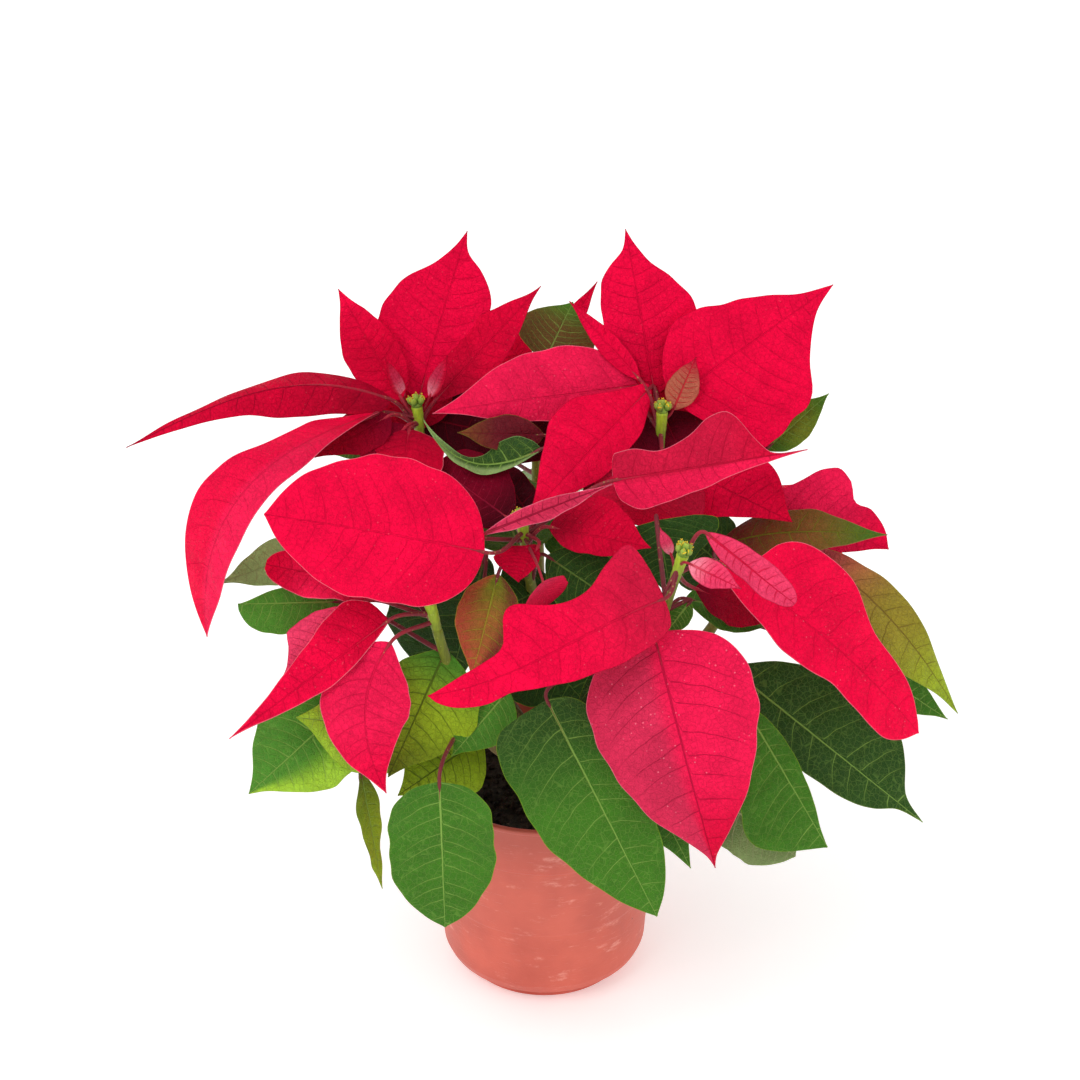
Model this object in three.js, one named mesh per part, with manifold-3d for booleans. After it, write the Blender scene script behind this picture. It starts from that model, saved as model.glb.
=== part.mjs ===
// A flowering poinsettia in its round nursery pot.
// Millimetres, +Z up, origin at the centre of the pot's base, -Y is the plant's front.

import * as THREE from "three";
import { mergeVertices } from "three/addons/utils/BufferGeometryUtils.js";
import Module from "manifold-3d";

const wasm = await Module();
wasm.setup();

// ---------------------------------------------------------------- driving dimensions

const POT_HEIGHT = 122;
const POT_RIM_RADIUS = 65;
const POT_FOOT_RADIUS = 46;
const POT_FOOT_HEIGHT = 3.4;
const POT_FOOT_EDGE = 0.6;
const POT_FOOT_FLARE = 1.6;
const POT_FLARE_RISE = 0.4;
const POT_BELLY_INSET = 2.2;
const POT_BELLY_HEIGHT = 9;
const POT_HEEL_RADIUS = 56;
const POT_HEEL_HEIGHT = 14;
const POT_BAND_HEIGHT = 30;
const POT_BAND_PROUD = 0.9;
const POT_BAND_STEP = 0.8;
const POT_LIP_HEIGHT = 3;
const POT_LIP_PROUD = 1.2;
const POT_LIP_STEP = 0.5;
const POT_LIP_EDGE = 0.7;
const POT_WALL = 1.8;
const POT_FLOOR = 2.2;
const POT_TAPER = (POT_RIM_RADIUS - POT_LIP_PROUD - POT_HEEL_RADIUS) / (POT_HEIGHT - POT_HEEL_HEIGHT);
const POT_BAND_FOOT = POT_HEIGHT - POT_BAND_HEIGHT;
const POT_SIDES = 28;
const DRAIN_COUNT = 6;
const DRAIN_RADIUS = 4;
const DRAIN_RING = 31;
const DRAIN_SIDES = 8;

const SOIL_TOP = 104;
const SOIL_MOUND = 3;
const SOIL_SIDES = 22;
const SOIL_RINGS = 4;
const SOIL_CRUMB = 0.9;
const SOIL_CRUMB_WAVE = [0.31, 0.27];
const SOIL_GAP = 0.6;
const SOIL_INSET = 1.2;
const CLEARANCE = 0.3;

const TRUNK_RADIUS = 6;
const TRUNK_TOP_RADIUS = 4.6;
const TRUNK_TOP = 156;
const TRUNK_DEPTH = 34;
const TRUNK_SIDES = 10;
const TRUNK_STEPS = 2;
const STUB_STEPS = 3;
const BRANCH_RADIUS = 4;
const BRANCH_TIP_RADIUS = 2.5;
const BRANCH_STEPS = 6;
const BRANCH_SIDES = 6;
const COLLAR_LENGTH = 16;
const COLLAR_RADIUS = 3;
const COLLAR_STEPS = 2;
const PETIOLE_RADIUS = 1.3;
const SMALL_PETIOLE_RADIUS = 0.9;
const PETIOLE_TAPER = 0.35;
const PETIOLE_HOLD = 0.1;
const FIRST_PETIOLE_DROP = 6;
const PETIOLE_DROP = 2.5;
const PETIOLE_TIERS = 4;
const DISC_RADIUS = 3;
const DISC_HEIGHT = 2.4;
const DISC_SIDES = 6;
const BUDS_AROUND = 3;
const BUD_RING = 2.8;
const BUD_RADIUS = 1.9;
const BUD_STRETCH = 1.35;
const BUD_SINK = 1.3;
const BUD_RISE = 2.2;
const BUD_SIDES = 5;
const BUD_RINGS = 2;
const BLADE_THICKNESS = 0.8;
const NARROWEST = 0.7;
const RIPPLES = 2.5;
const RIPPLE_SHIFT = 0.3;
const SMOOTHED = 0.25;
const SAME_POINT = 0.0001;
const BLADE_ROWS = 6;
const PLAIN_BLADE_ROWS = 5;
const SMALL_BLADE_ROWS = 4;
const BLADE_CELLS = 2;
const CURLED_BLADE_CELLS = 4;
const PETIOLE_BEND = 14;
const PETIOLE_STEPS = 3;
const PETIOLE_SIDES = 3;

const COLOURS = {
  pot: 0xd66458,
  soil: 0x1c1612,
  wood: 0x6b5a3c,
  green: 0x2f7a2f,
  red: 0xe0082f,
  bud: 0xa8b63a,
};

// ---------------------------------------------------------------- blade outlines

// Half width against the place along the rib, both as shares of the greatest.
const OUTLINES = {
  ovate: [[0, 0.08], [0.08, 0.45], [0.2, 0.84], [0.38, 1], [0.56, 0.9], [0.74, 0.58], [0.88, 0.22], [1, 0]],
  oval: [[0, 0.3], [0.06, 0.62], [0.18, 0.9], [0.42, 1], [0.64, 0.93], [0.82, 0.66], [0.93, 0.34], [1, 0]],
  spade: [
    [0, 0.3], [0.06, 0.72], [0.16, 0.97], [0.32, 1], [0.52, 0.88],
    [0.72, 0.58], [0.86, 0.26], [0.94, 0.07], [1, 0],
  ],
  lance: [[0, 0.08], [0.12, 0.5], [0.28, 0.92], [0.44, 1], [0.62, 0.8], [0.78, 0.46], [0.9, 0.16], [1, 0]],
  angular: [
    [0, 0.08], [0.14, 0.55], [0.3, 0.86], [0.5, 0.98],
    [0.68, 1], [0.82, 0.64], [0.92, 0.24], [1, 0],
  ],
  lobed: [
    [0, 0.25], [0.16, 0.62], [0.3, 0.92], [0.42, 1], [0.52, 0.86],
    [0.6, 0.56], [0.78, 0.5], [0.92, 0.28], [1, 0],
  ],
  eared: [
    [0, 0.8], [0.05, 1], [0.14, 0.84], [0.24, 0.64], [0.34, 0.6], [0.46, 0.76],
    [0.56, 0.92], [0.61, 0.82], [0.66, 0.42], [0.76, 0.3], [0.88, 0.18], [1, 0],
  ],
  blunt: [
    [0, 0.12], [0.12, 0.5], [0.3, 0.86], [0.52, 1],
    [0.74, 0.96], [0.9, 0.74], [0.97, 0.46], [1, 0.2],
  ],
  sail: [
    [0, 0.5], [0.12, 0.54], [0.23, 0.45], [0.33, 0.5], [0.44, 0.68], [0.52, 0.88],
    [0.61, 1], [0.67, 0.83], [0.75, 0.35], [0.82, 0.06], [1, 0],
  ],
  tailed: [[0, 0.4], [0.1, 0.8], [0.28, 1], [0.42, 0.94], [0.56, 0.62], [0.72, 0.36], [0.88, 0.14], [1, 0]],
  broad: [[0, 0.3], [0.1, 0.75], [0.22, 1], [0.36, 1], [0.5, 0.8], [0.68, 0.52], [0.84, 0.2], [1, 0]],
  shoulder: [
    [0, 0.1], [0.15, 0.5], [0.35, 0.86], [0.54, 1],
    [0.65, 0.95], [0.72, 0.64], [0.86, 0.22], [1, 0],
  ],
  full: [[0, 0.1], [0.12, 0.3], [0.24, 0.54], [0.36, 0.8], [0.58, 0.94], [0.72, 1], [0.87, 0.7], [1, 0]],
  drawn: [
    [0, 0.08], [0.08, 0.45], [0.2, 0.84], [0.4, 1], [0.55, 0.92],
    [0.67, 0.68], [0.78, 0.34], [0.9, 0.12], [1, 0],
  ],
  squared: [[0, 0.1], [0.15, 0.6], [0.35, 0.92], [0.54, 1], [0.7, 0.9], [0.8, 0.58], [0.88, 0.18], [1, 0]],
  hatchet: [
    [0, 0.1], [0.1, 0.54], [0.18, 0.86], [0.25, 1], [0.42, 0.9],
    [0.6, 0.81], [0.68, 0.52], [0.77, 0.29], [0.86, 0.12], [1, 0],
  ],
  wedge: [[0, 0.55], [0.1, 0.98], [0.2, 1], [0.42, 0.74], [0.6, 0.44], [0.8, 0.18], [1, 0]],
  hooked: [
    [0, 0.6], [0.08, 0.85], [0.3, 1], [0.45, 0.86], [0.6, 0.6],
    [0.7, 0.46], [0.8, 0.52], [0.9, 0.42], [0.97, 0.2], [1, 0],
  ],
  scythe: [
    [0, 0.2], [0.07, 0.42], [0.15, 0.63], [0.24, 0.6], [0.33, 0.62], [0.42, 0.7],
    [0.55, 0.92], [0.68, 1], [0.8, 0.9], [0.9, 0.58], [1, 0],
  ],
  shield: [
    [0, 0.1], [0.11, 0.29], [0.17, 0.72], [0.26, 0.98], [0.36, 1], [0.465, 1],
    [0.575, 0.75], [0.665, 0.58], [0.79, 0.46], [0.9, 0.31], [0.97, 0.12], [1, 0],
  ],
  waisted: [
    [0, 0.2], [0.12, 0.55], [0.24, 0.8], [0.35, 1], [0.5, 0.92], [0.6, 0.8],
    [0.7, 0.85], [0.8, 0.93], [0.88, 0.88], [0.95, 0.5], [1, 0],
  ],
  heart: [
    [0, 0.62], [0.05, 0.86], [0.14, 0.98], [0.3, 1], [0.5, 0.93],
    [0.7, 0.72], [0.86, 0.4], [0.95, 0.16], [1, 0],
  ],
  tucked: [
    [0, 0.1], [0.12, 0.3], [0.24, 0.52], [0.36, 0.76], [0.5, 0.9],
    [0.6, 0.86], [0.74, 0.56], [0.88, 0.22], [1, 0],
  ],
  scoop: [[0, 0.3], [0.1, 0.9], [0.2, 1], [0.32, 0.84], [0.44, 0.4], [0.6, 0.2], [0.85, 0.14], [1, 0]],
};

// ---------------------------------------------------------------- the plant

// Each stem is a cubic curve of four points from the trunk to the foot of its bloom.
// stub is the share of it that the trunk carries.
const STEMS = {
  A: { points: [[-2, 2, 132], [-40, 25, 165], [-60, 42, 235], [-65, 49, 293]], stub: 0.24 },
  B: { points: [[3, 2, 136], [38, 26, 160], [58, 46, 225], [60.5, 49.5, 290]], stub: 0.24 },
  C: { points: [[0, -1, 150], [0, -6, 185], [-6, -18, 230], [-9.5, -19.8, 263]], stub: 0.2 },
  D: { points: [[-2, -4, 128], [-28, -34, 140], [-44, -57, 195], [-53, -60, 240]], stub: 0.24 },
  E: { points: [[3, -3, 130], [40, -40, 150], [48, -60, 212], [62, -69, 272]], stub: 0.22 },
  F: { points: [[4, 1, 126], [60, -2, 150], [96, 14, 200], [115, 34, 246]], stub: 0.24 },
  G: { points: [[0, 4, 140], [-2, 50, 165], [-4, 95, 220], [-5, 110, 284]], stub: 0.22 },
};

// Red bracts of each bloom. base and tip are the ends of the blade, looks is the way its
// upper face turns, width its full width or its left and right halves, arch and bow how far
// the rib stands off a straight line towards the face and to the right, fold the rise of
// the two halves in degrees, curl the further turn of the margins, wave the depth of the
// ripples along them. small marks the little bracts round the buds, back a plain blade with
// fewer rows that others cover or that grows on the far side.
const BRACTS = {
  A: [
    {
      name: "A1", base: [-66, 61, 309], tip: [-40, 86, 393], looks: [0.1, -1, 0.35], width: [32, 23],
      arch: [-4, -8], outline: ["drawn", "squared"],
    },
    { name: "A2", base: [-74, 50, 314], tip: [-107, 76, 365], looks: [0.2, -1, 0.2], width: [16, 13] },
    {
      name: "A3", base: [-58, 56, 310], tip: [-2, 80, 365], looks: [-0.2, -0.9, 0.6], width: [17, 13],
      outline: "lance", fold: [-12, 6],
    },
    {
      name: "A4", base: [-79, 48, 315], tip: [-215, 28, 297], looks: [0, -0.3, 1], width: [16, 12],
      arch: [38, 18], fold: [-44, -12], outline: "tailed",
    },
    {
      name: "A5", base: [-86, 42, 311], tip: [-170, -38, 223], looks: [-0.4, -0.5, 0.75],
      width: [17, 25], arch: [66, 76], outline: ["full", "scythe"], bow: [-28, 2],
    },
    {
      name: "A6", base: [-70, 38, 303], tip: [-72, -12, 276], looks: [0, -0.3, 1], width: [20, 23],
      arch: [8, 8],
    },
    { name: "A7", base: [-80, 42, 309], tip: [-116, 6, 302], looks: [0.1, -0.5, 0.9], width: 26 },
    { name: "a1", base: [-73, 52, 314], tip: [-82, 50, 337], looks: [0.3, -1, 0.2], width: 7, small: true },
    {
      name: "a2", base: [-60, 52, 314], tip: [-50, 52, 338], looks: [-0.3, -1, 0.2], width: 8,
      small: true,
    },
    {
      name: "A8", base: [-71, 40, 304], tip: [-94, 6, 296], looks: [0.1, -0.5, 0.9], width: 26,
      back: true,
    },
    {
      name: "A9", base: [-72, 68, 297], tip: [12, 53, 285], looks: [0, -0.8, 0.6], width: [23, 17],
      outline: "oval", back: true,
    },
    {
      name: "A10", base: [-67, 60, 292], tip: [-76, 76, 336], looks: [0, -1, 0.3], width: 44,
      outline: "oval", back: true,
    },
  ],
  B: [
    {
      name: "B1", base: [58, 63, 311], tip: [42, 92, 392], looks: [0, -1, 0.3], width: [20, 29],
      outline: ["squared", "drawn"],
    },
    {
      name: "B2", base: [67, 56, 312], tip: [149, 72, 369], looks: [0, -0.9, 0.4], width: [31, 50],
      outline: ["broad", "hatchet"],
    },
    {
      name: "B9", base: [62, 64, 301], tip: [84, 30, 262], looks: [0, -0.7, 0.7], width: [24, 8],
      back: true,
    },
    {
      name: "B3", base: [53, 66, 316], tip: [-57, 24, 318], looks: [0, -0.75, 0.66], width: [13, 26],
      fold: [-15, 5], arch: [-4, 6],
    },
    {
      name: "B4", base: [56, 62, 316], tip: [-8, -31, 288], looks: [0.3, -0.85, 0.4], width: [15, 30],
      outline: ["ovate", "tucked"],
    },
    {
      name: "B6", base: [62, 40, 285], tip: [125, -8, 272.5], looks: [0, -0.75, 0.66], width: [22, 31],
      outline: ["angular", "wedge"],
    },
    { name: "B7", base: [50, 61, 320], tip: [13, 84, 355], looks: [0, -1, 0.3], width: 12 },
    { name: "B8", base: [52, 57, 303], tip: [20, 24, 274], looks: [0, -0.7, 0.7], width: 50, back: true },
    { name: "b1", base: [67, 52, 307], tip: [78, 52, 337], looks: [0, -1, 0.2], width: 17, small: true },
    {
      name: "B10", base: [60, 63, 290], tip: [60, 76, 336], looks: [0, -1, 0.3], width: 44,
      outline: "oval", back: true,
    },
    {
      name: "B11", base: [60, 30, 290], tip: [48, -17, 275], looks: [0, -0.7, 0.7], width: 58,
      back: true, outline: "blunt",
    },
  ],
  C: [
    {
      name: "C1", base: [-29, -54, 280], tip: [-133, -70, 309], looks: [0, -0.8, 0.6], width: [33, 40],
      arch: [8, 8], fold: -6, curl: -16, outline: "oval",
    },
    {
      name: "B5", base: [34, -12, 298], tip: [130, -12, 315], looks: [0, -0.7, 0.7], width: [26, 16],
      fold: [10, -10], outline: ["sail", "wedge"],
    },
    {
      name: "C3", base: [-30, -37, 281.4], tip: [33, -30, 305], looks: [0, -0.6, 0.8], width: [5, 7],
      fold: 20, outline: "lance",
    },
    { name: "C4", base: [2, -27, 280], tip: [52, -44, 277], looks: [0, -0.6, 0.8], width: [22, 11] },
    {
      name: "C5", base: [-3, -30, 271], tip: [-13, -48, 260], looks: [0, -0.8, 0.6], width: [4, 17],
      outline: ["lance", "full"],
    },
    {
      name: "C6", base: [-1, -60, 267], tip: [2, -73, 262], looks: [-0.5, -0.7, 0.5], width: 26,
      small: true, outline: "blunt",
    },
    {
      name: "C7", base: [-17, -16, 278], tip: [-56, 18, 292], looks: [0, -0.6, 0.8], width: 42,
      outline: "blunt", back: true,
    },
    {
      name: "C8", base: [-7, -8, 275], tip: [-26, 34, 286], looks: [0, -0.7, 0.7], width: [26, 10],
      back: true, outline: "oval",
    },
  ],
  D: [
    {
      name: "D1", base: [-76, -68, 250], tip: [-153, -98, 201], looks: [-0.2, -0.8, 0.5],
      width: [9, 20], outline: ["lance", "wedge"],
    },
    {
      name: "D4", base: [-92, -60, 253], tip: [-130, -69, 216.5], looks: [-0.1, -0.9, 0.4],
      width: [10, 15], outline: ["lance", "shoulder"],
    },
    {
      name: "D2", base: [-75, -74, 241], tip: [-77, -108, 176], looks: [-0.1, -0.85, 0.5], width: 44,
      bow: [17, 14],
    },
    {
      name: "D3", base: [-71, -54, 259], tip: [-137, -46, 269], looks: [0, -0.7, 0.7], width: 24,
      wave: 3, outline: "blunt",
    },
  ],
  E: [
    {
      name: "E1", base: [52, -86, 253.6], tip: [83, -122, 142], looks: [0, -0.98, 0.2], width: 82,
      arch: [16, 22], fold: -5, curl: -14, outline: "spade",
    },
    {
      name: "E2", base: [57, -82, 270], tip: [-55, -118, 238], looks: [0, -0.75, 0.66],
      width: [20, 31], outline: ["hooked", "eared"], arch: [10, 4], bow: [0, -12],
    },
    {
      name: "E3", base: [84, -60, 278], tip: [188, -62, 181], looks: [0.3, -0.6, 0.7], width: [37, 21],
      arch: [8, 8], outline: ["shield", "waisted"], bow: [-4, -4],
    },
    { name: "e1", base: [61, -61, 282], tip: [55, -63, 298], looks: [0, -1, 0.2], width: 6, small: true },
    {
      name: "e2", base: [68, -80, 288], tip: [92, -94, 282], looks: [0, -0.8, 0.6], width: 14,
      fold: 15, small: true,
    },
    {
      name: "e3", base: [77, -66, 297], tip: [117, -98, 276], looks: [0, -0.7, 0.7], width: 16,
      fold: 15, outline: "blunt",
    },
    { name: "E5", base: [74, -52, 259], tip: [116, -38, 232], looks: [0, -0.6, 0.8], width: 24 },
  ],
  F: [
    {
      name: "E4", base: [120, 32, 262], tip: [179, 16, 244], looks: [0, -0.8, 0.6], width: [31, 14],
      outline: ["lobed", "ovate"],
    },
    {
      name: "F2", base: [117, 46, 256], tip: [115, 112, 220], looks: [0, 0.3, 1], width: 36,
      arch: [14, 12], back: true,
    },
    {
      name: "F3", base: [124, 44, 258], tip: [160, 80, 220], looks: [0.4, 0.3, 1], width: 34,
      arch: [10, 10], back: true,
    },
    {
      name: "F4", base: [126, 36, 252], tip: [168, 42, 204], looks: [0.5, 0, 1], width: 26,
      arch: [12, 12], back: true,
    },
  ],
  G: [
    { name: "G1", base: [-3, 122, 297], tip: [29, 140, 344], looks: [0, -1, 0.4], width: 14 },
    { name: "G2", base: [-9, 122, 297], tip: [-32, 135, 330], looks: [0, -1, 0.4], width: 20 },
    {
      name: "G3", base: [-14, 122, 294], tip: [-70, 165, 275], looks: [0, 0.2, 1], width: 40,
      arch: [12, 10], back: true,
    },
    {
      name: "G4", base: [-4, 124, 294], tip: [0, 195, 260], looks: [0, 0.3, 1], width: 46,
      arch: [14, 14], back: true,
    },
    {
      name: "G5", base: [4, 120, 294], tip: [65, 170, 265], looks: [0.2, 0.2, 1], width: 42,
      arch: [12, 12], back: true,
    },
    {
      name: "G6", base: [-15, 112, 296], tip: [-75, 120, 290], looks: [0, 0, 1], width: 34,
      arch: [8, 8], back: true,
    },
    {
      name: "G7", base: [6, 112, 296], tip: [70, 125, 285], looks: [0, 0, 1], width: 34, arch: [8, 8],
      back: true,
    },
  ],
};

// Green leaves of each stem. node is where along the stem the petiole leaves it.
const LEAVES = {
  A: [
    {
      name: "L1", node: 0.7, base: [-106, -10, 263], tip: [-164, -26, 247], looks: [0, -0.5, 0.9],
      width: 28,
    },
    {
      name: "L26", node: 0.9, base: [-84, 44, 294], tip: [-110, 38, 288], looks: [0, -0.4, 0.9],
      width: 20,
    },
    {
      name: "K10", node: 0.88, base: [-68, 62, 284], tip: [-76, 120, 279], looks: [0, -0.2, 1],
      width: 46, back: true,
    },
  ],
  B: [
    { name: "L20", node: 0.8, base: [116, 50, 285], tip: [149, 62, 312], looks: [0, -0.9, 0.4], width: 20 },
  ],
  C: [
    {
      name: "L17", node: 0.85, base: [-23, -45, 263], tip: [-36, -73, 220], looks: [0, -0.9, 0.5],
      width: 31,
    },
    { name: "L18", node: 0.8, base: [1, -26, 263], tip: [48, -40, 234], looks: [0, -0.7, 0.7], width: 36 },
    {
      name: "L21", node: 0.95, base: [-2, 10, 305], tip: [-61, 14, 319], looks: [0, -0.2, 1],
      width: [6, 12], fold: [-10, 30], outline: ["lance", "scoop"], arch: [-18, -20], bow: [-6, -10],
    },
    { name: "L22", node: 0.97, base: [0, 30, 303], tip: [-44, 12, 313], looks: [0, -0.8, 0.6], width: 20 },
    {
      name: "K14", node: 0.45, base: [-12, -5, 207], tip: [22, -26, 175], looks: [0, -0.8, 0.6],
      width: 56, back: true,
    },
    {
      name: "K11", node: 0.8, base: [-12, 6, 246], tip: [-32, 90, 262], looks: [0, -0.2, 1], width: 60,
      back: true,
    },
    {
      name: "K12", node: 0.7, base: [16, 4, 238], tip: [32, 64, 256], looks: [0, -0.2, 1], width: 46,
      back: true,
    },
    {
      name: "K16", node: 0.5, base: [5, -10, 238], tip: [-24, -34, 236], looks: [0, -0.8, 0.6],
      width: 44, back: true,
    },
  ],
  D: [
    {
      name: "L2", node: 0.9, base: [-102, -33, 240.5], tip: [-151, -53, 250.5], looks: [0, -0.7, 0.7],
      width: [16, 9], outline: ["blunt", "ovate"],
    },
    {
      name: "L3", node: 0.6, base: [-99, -50, 192], tip: [-147, -88, 162], looks: [0, -0.7, 0.7],
      width: 56,
    },
    {
      name: "L4", node: 0.65, base: [-62, -54, 177], tip: [-122, -82, 203], looks: [0, -0.8, 0.5],
      width: 50,
    },
    {
      name: "L5", node: 0.85, base: [-49, -56, 226], tip: [-77, -94, 176], looks: [0.1, -0.9, 0.5],
      width: [29, 21],
    },
    {
      name: "L6", node: 0.7, base: [-18, -60, 205], tip: [-46, -86, 183], looks: [0, -0.8, 0.6],
      width: 30,
    },
    {
      name: "L7", node: 0.55, base: [-32, -60, 177], tip: [-73, -88, 161], looks: [0, -0.8, 0.6],
      width: 42,
    },
    {
      name: "L8", node: 0.6, base: [-51, -112, 185], tip: [-49, -130, 112], looks: [0, -1, 0.2],
      width: 52, outline: "oval",
    },
    { name: "L9", node: 0.5, base: [-93, -62, 158], tip: [-84, -72, 92], looks: [1, -0.4, 0], width: 22 },
    {
      name: "K17", node: 0.6, base: [-30, -25, 262], tip: [-50, -25, 184], looks: [0, -0.8, 0.6],
      width: [10, 42], back: true, outline: "oval",
    },
  ],
  E: [
    {
      name: "L10", node: 0.75, base: [1, -84, 214], tip: [55, -128, 117], looks: [0, -0.9, 0.4],
      width: [23, 35], outline: ["oval", "heart"],
    },
    { name: "L11", node: 0.8, base: [23, -66, 219], tip: [73, -98, 124], looks: [0, -0.9, 0.4], width: 50 },
    {
      name: "L13", node: 0.7, base: [99, -62, 199], tip: [142, -90, 131], looks: [0, -0.8, 0.6],
      width: [9, 32], outline: ["ovate", "full"],
    },
    {
      name: "L14", node: 0.5, base: [92, -50, 132], tip: [127, -84, 121], looks: [0, -0.8, 0.6],
      width: [17, 19], outline: "oval",
    },
    {
      name: "L23", node: 0.9, base: [71, -60, 256], tip: [57, -76, 245], looks: [0, -0.8, 0.6],
      width: 12, small: true,
    },
    {
      name: "L25", node: 0.85, base: [70, -46, 250], tip: [120, -30, 227], looks: [0, -0.5, 0.8],
      width: 26,
    },
    {
      name: "L27", node: 0.92, base: [56, -23, 281], tip: [64, -29, 240], looks: [0, -0.8, 0.6],
      width: 60, back: true, outline: "wedge",
    },
  ],
  F: [
    {
      name: "L12", node: 0.6, base: [95.5, -34, 201.5], tip: [196, -54, 121], looks: [0.2, -0.8, 0.6],
      width: [33, 18], outline: "squared",
    },
    {
      name: "L15", node: 0.85, base: [131, 14, 247.5], tip: [211, -42, 180], looks: [0.5, -0.6, 0.6],
      width: [16, 27], arch: [20, 16],
    },
    {
      name: "L16", node: 0.8, base: [90, 12, 248], tip: [175, 0, 261], looks: [0, -0.4, 0.9],
      width: 30, arch: [14, 6],
    },
    {
      name: "K15", node: 0.75, base: [98, 24, 226], tip: [62, 20, 262], looks: [0, -0.7, 0.7],
      width: 46, back: true,
    },
    {
      name: "L24", node: 0.7, base: [163, -16, 196], tip: [210, -24, 165], looks: [0.2, -0.8, 0.6],
      width: 22,
    },
    {
      name: "K8", node: 0.65, base: [120, 70, 215], tip: [130, 110, 180], looks: [0, 0.3, 1],
      width: 40, back: true,
    },
  ],
  G: [
    { name: "L19", node: 0.95, base: [0, 76, 324], tip: [15, 98, 349], looks: [0, -1, 0.4], width: 44 },
    {
      name: "K1", node: 0.8, base: [-25, 130, 240], tip: [-60, 175, 200], looks: [-0.2, 0.3, 1],
      width: 50, back: true,
    },
    {
      name: "K2", node: 0.75, base: [5, 130, 235], tip: [20, 190, 190], looks: [0, 0.3, 1], width: 52,
      back: true,
    },
    {
      name: "K3", node: 0.7, base: [40, 115, 225], tip: [90, 150, 190], looks: [0.2, 0.3, 1],
      width: 48, back: true,
    },
    {
      name: "K4", node: 0.65, base: [-50, 90, 215], tip: [-120, 120, 210], looks: [-0.1, 0.2, 1],
      width: 50, back: true,
    },
    {
      name: "K5", node: 0.55, base: [-20, 100, 175], tip: [-40, 140, 140], looks: [0, 0.4, 1],
      width: 40, back: true,
    },
  ],
};

// ---------------------------------------------------------------- solids

const vec = ([x, y, z]) => new THREE.Vector3(x, y, z);

function solidOf(geometry) {
  geometry.deleteAttribute("normal");
  geometry.deleteAttribute("uv");
  const merged = mergeVertices(geometry, SAME_POINT);
  return new wasm.Manifold(new wasm.Mesh({
    numProp: 3,
    vertProperties: new Float32Array(merged.attributes.position.array),
    triVerts: new Uint32Array(merged.index.array),
  }));
}

function geometryOf(solid) {
  const mesh = solid.getMesh();
  const geometry = new THREE.BufferGeometry();
  geometry.setAttribute("position", new THREE.BufferAttribute(mesh.vertProperties, 3));
  geometry.setIndex(new THREE.BufferAttribute(mesh.triVerts, 1));
  geometry.computeVertexNormals();
  return geometry;
}

function fuse(solids) {
  const whole = solids.reduce((sum, solid) => sum.add(solid)).simplify(SMOOTHED);
  return whole.decompose().sort((a, b) => b.volume() - a.volume())[0];
}

function closedGrid(rows) {
  // A closed skin over rows of points that each run round the solid, with both ends capped.
  const positions = rows.flat().flatMap((p) => [p.x, p.y, p.z]);
  const around = rows[0].length;
  const index = [];
  for (let i = 0; i + 1 < rows.length; i += 1) {
    for (let j = 0; j < around; j += 1) {
      const a = i * around + j;
      const b = i * around + (j + 1) % around;
      index.push(a, b, b + around, a, b + around, a + around);
    }
  }
  const last = (rows.length - 1) * around;
  for (let j = 1; j + 1 < around; j += 1) {
    index.push(0, j + 1, j);
    index.push(last, last + j, last + j + 1);
  }
  const geometry = new THREE.BufferGeometry();
  geometry.setAttribute("position", new THREE.Float32BufferAttribute(positions, 3));
  geometry.setIndex(index);
  return geometry;
}

function tube(curve, radiusAt, steps, sides, from = 0, to = 1) {
  const frames = curve.computeFrenetFrames(steps, false);
  const rows = [];
  for (let i = 0; i <= steps; i += 1) {
    const share = from + (to - from) * (i / steps);
    const centre = curve.getPoint(share);
    const tangent = curve.getTangent(share);
    const normal = frames.normals[0].clone();
    normal.addScaledVector(tangent, -normal.dot(tangent)).normalize();
    const across = tangent.clone().cross(normal);
    const row = [];
    for (let j = 0; j < sides; j += 1) {
      const angle = (j / sides) * Math.PI * 2;
      const r = radiusAt(share);
      const point = centre.clone();
      point.addScaledVector(normal, Math.cos(angle) * r);
      point.addScaledVector(across, Math.sin(angle) * r);
      row.push(point);
    }
    rows.push(row);
  }
  return solidOf(closedGrid(rows));
}

// ---------------------------------------------------------------- blades

function shareAt(table, s) {
  // A smooth curve through the table's points.
  let i = 0;
  while (i < table.length - 2 && s > table[i + 1][0]) i += 1;
  const slope = (j) => {
    const a = table[Math.max(j - 1, 0)];
    const b = table[Math.min(j + 1, table.length - 1)];
    return (b[1] - a[1]) / (b[0] - a[0]);
  };
  const [x0, y0] = table[i];
  const [x1, y1] = table[i + 1];
  const h = x1 - x0;
  const t = (s - x0) / h;
  const a = y0 + (y0 * 2 - y1 * 2 + h * slope(i) + h * slope(i + 1)) * t * t * t;
  return a + (3 * y1 - 3 * y0 - 2 * h * slope(i) - h * slope(i + 1)) * t * t + h * slope(i) * t;
}

const pair = (value) => (Array.isArray(value) ? value : [value, value]);

function bladeFrame(spec) {
  const base = vec(spec.base);
  const tip = vec(spec.tip);
  const chord = tip.clone().sub(base);
  const forward = chord.clone().normalize();
  const face = vec(spec.looks).normalize();
  face.addScaledVector(forward, -face.dot(forward)).normalize();
  const right = forward.clone().cross(face);
  const [arch1, arch2] = pair(spec.arch ?? 0);
  const [bow1, bow2] = pair(spec.bow ?? 0);
  const first = base.clone().addScaledVector(chord, 1 / 3);
  first.addScaledVector(face, arch1).addScaledVector(right, bow1);
  const second = base.clone().addScaledVector(chord, 2 / 3);
  second.addScaledVector(face, arch2).addScaledVector(right, bow2);
  return { rib: new THREE.CubicBezierCurve3(base, first, second, tip), face };
}

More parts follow.
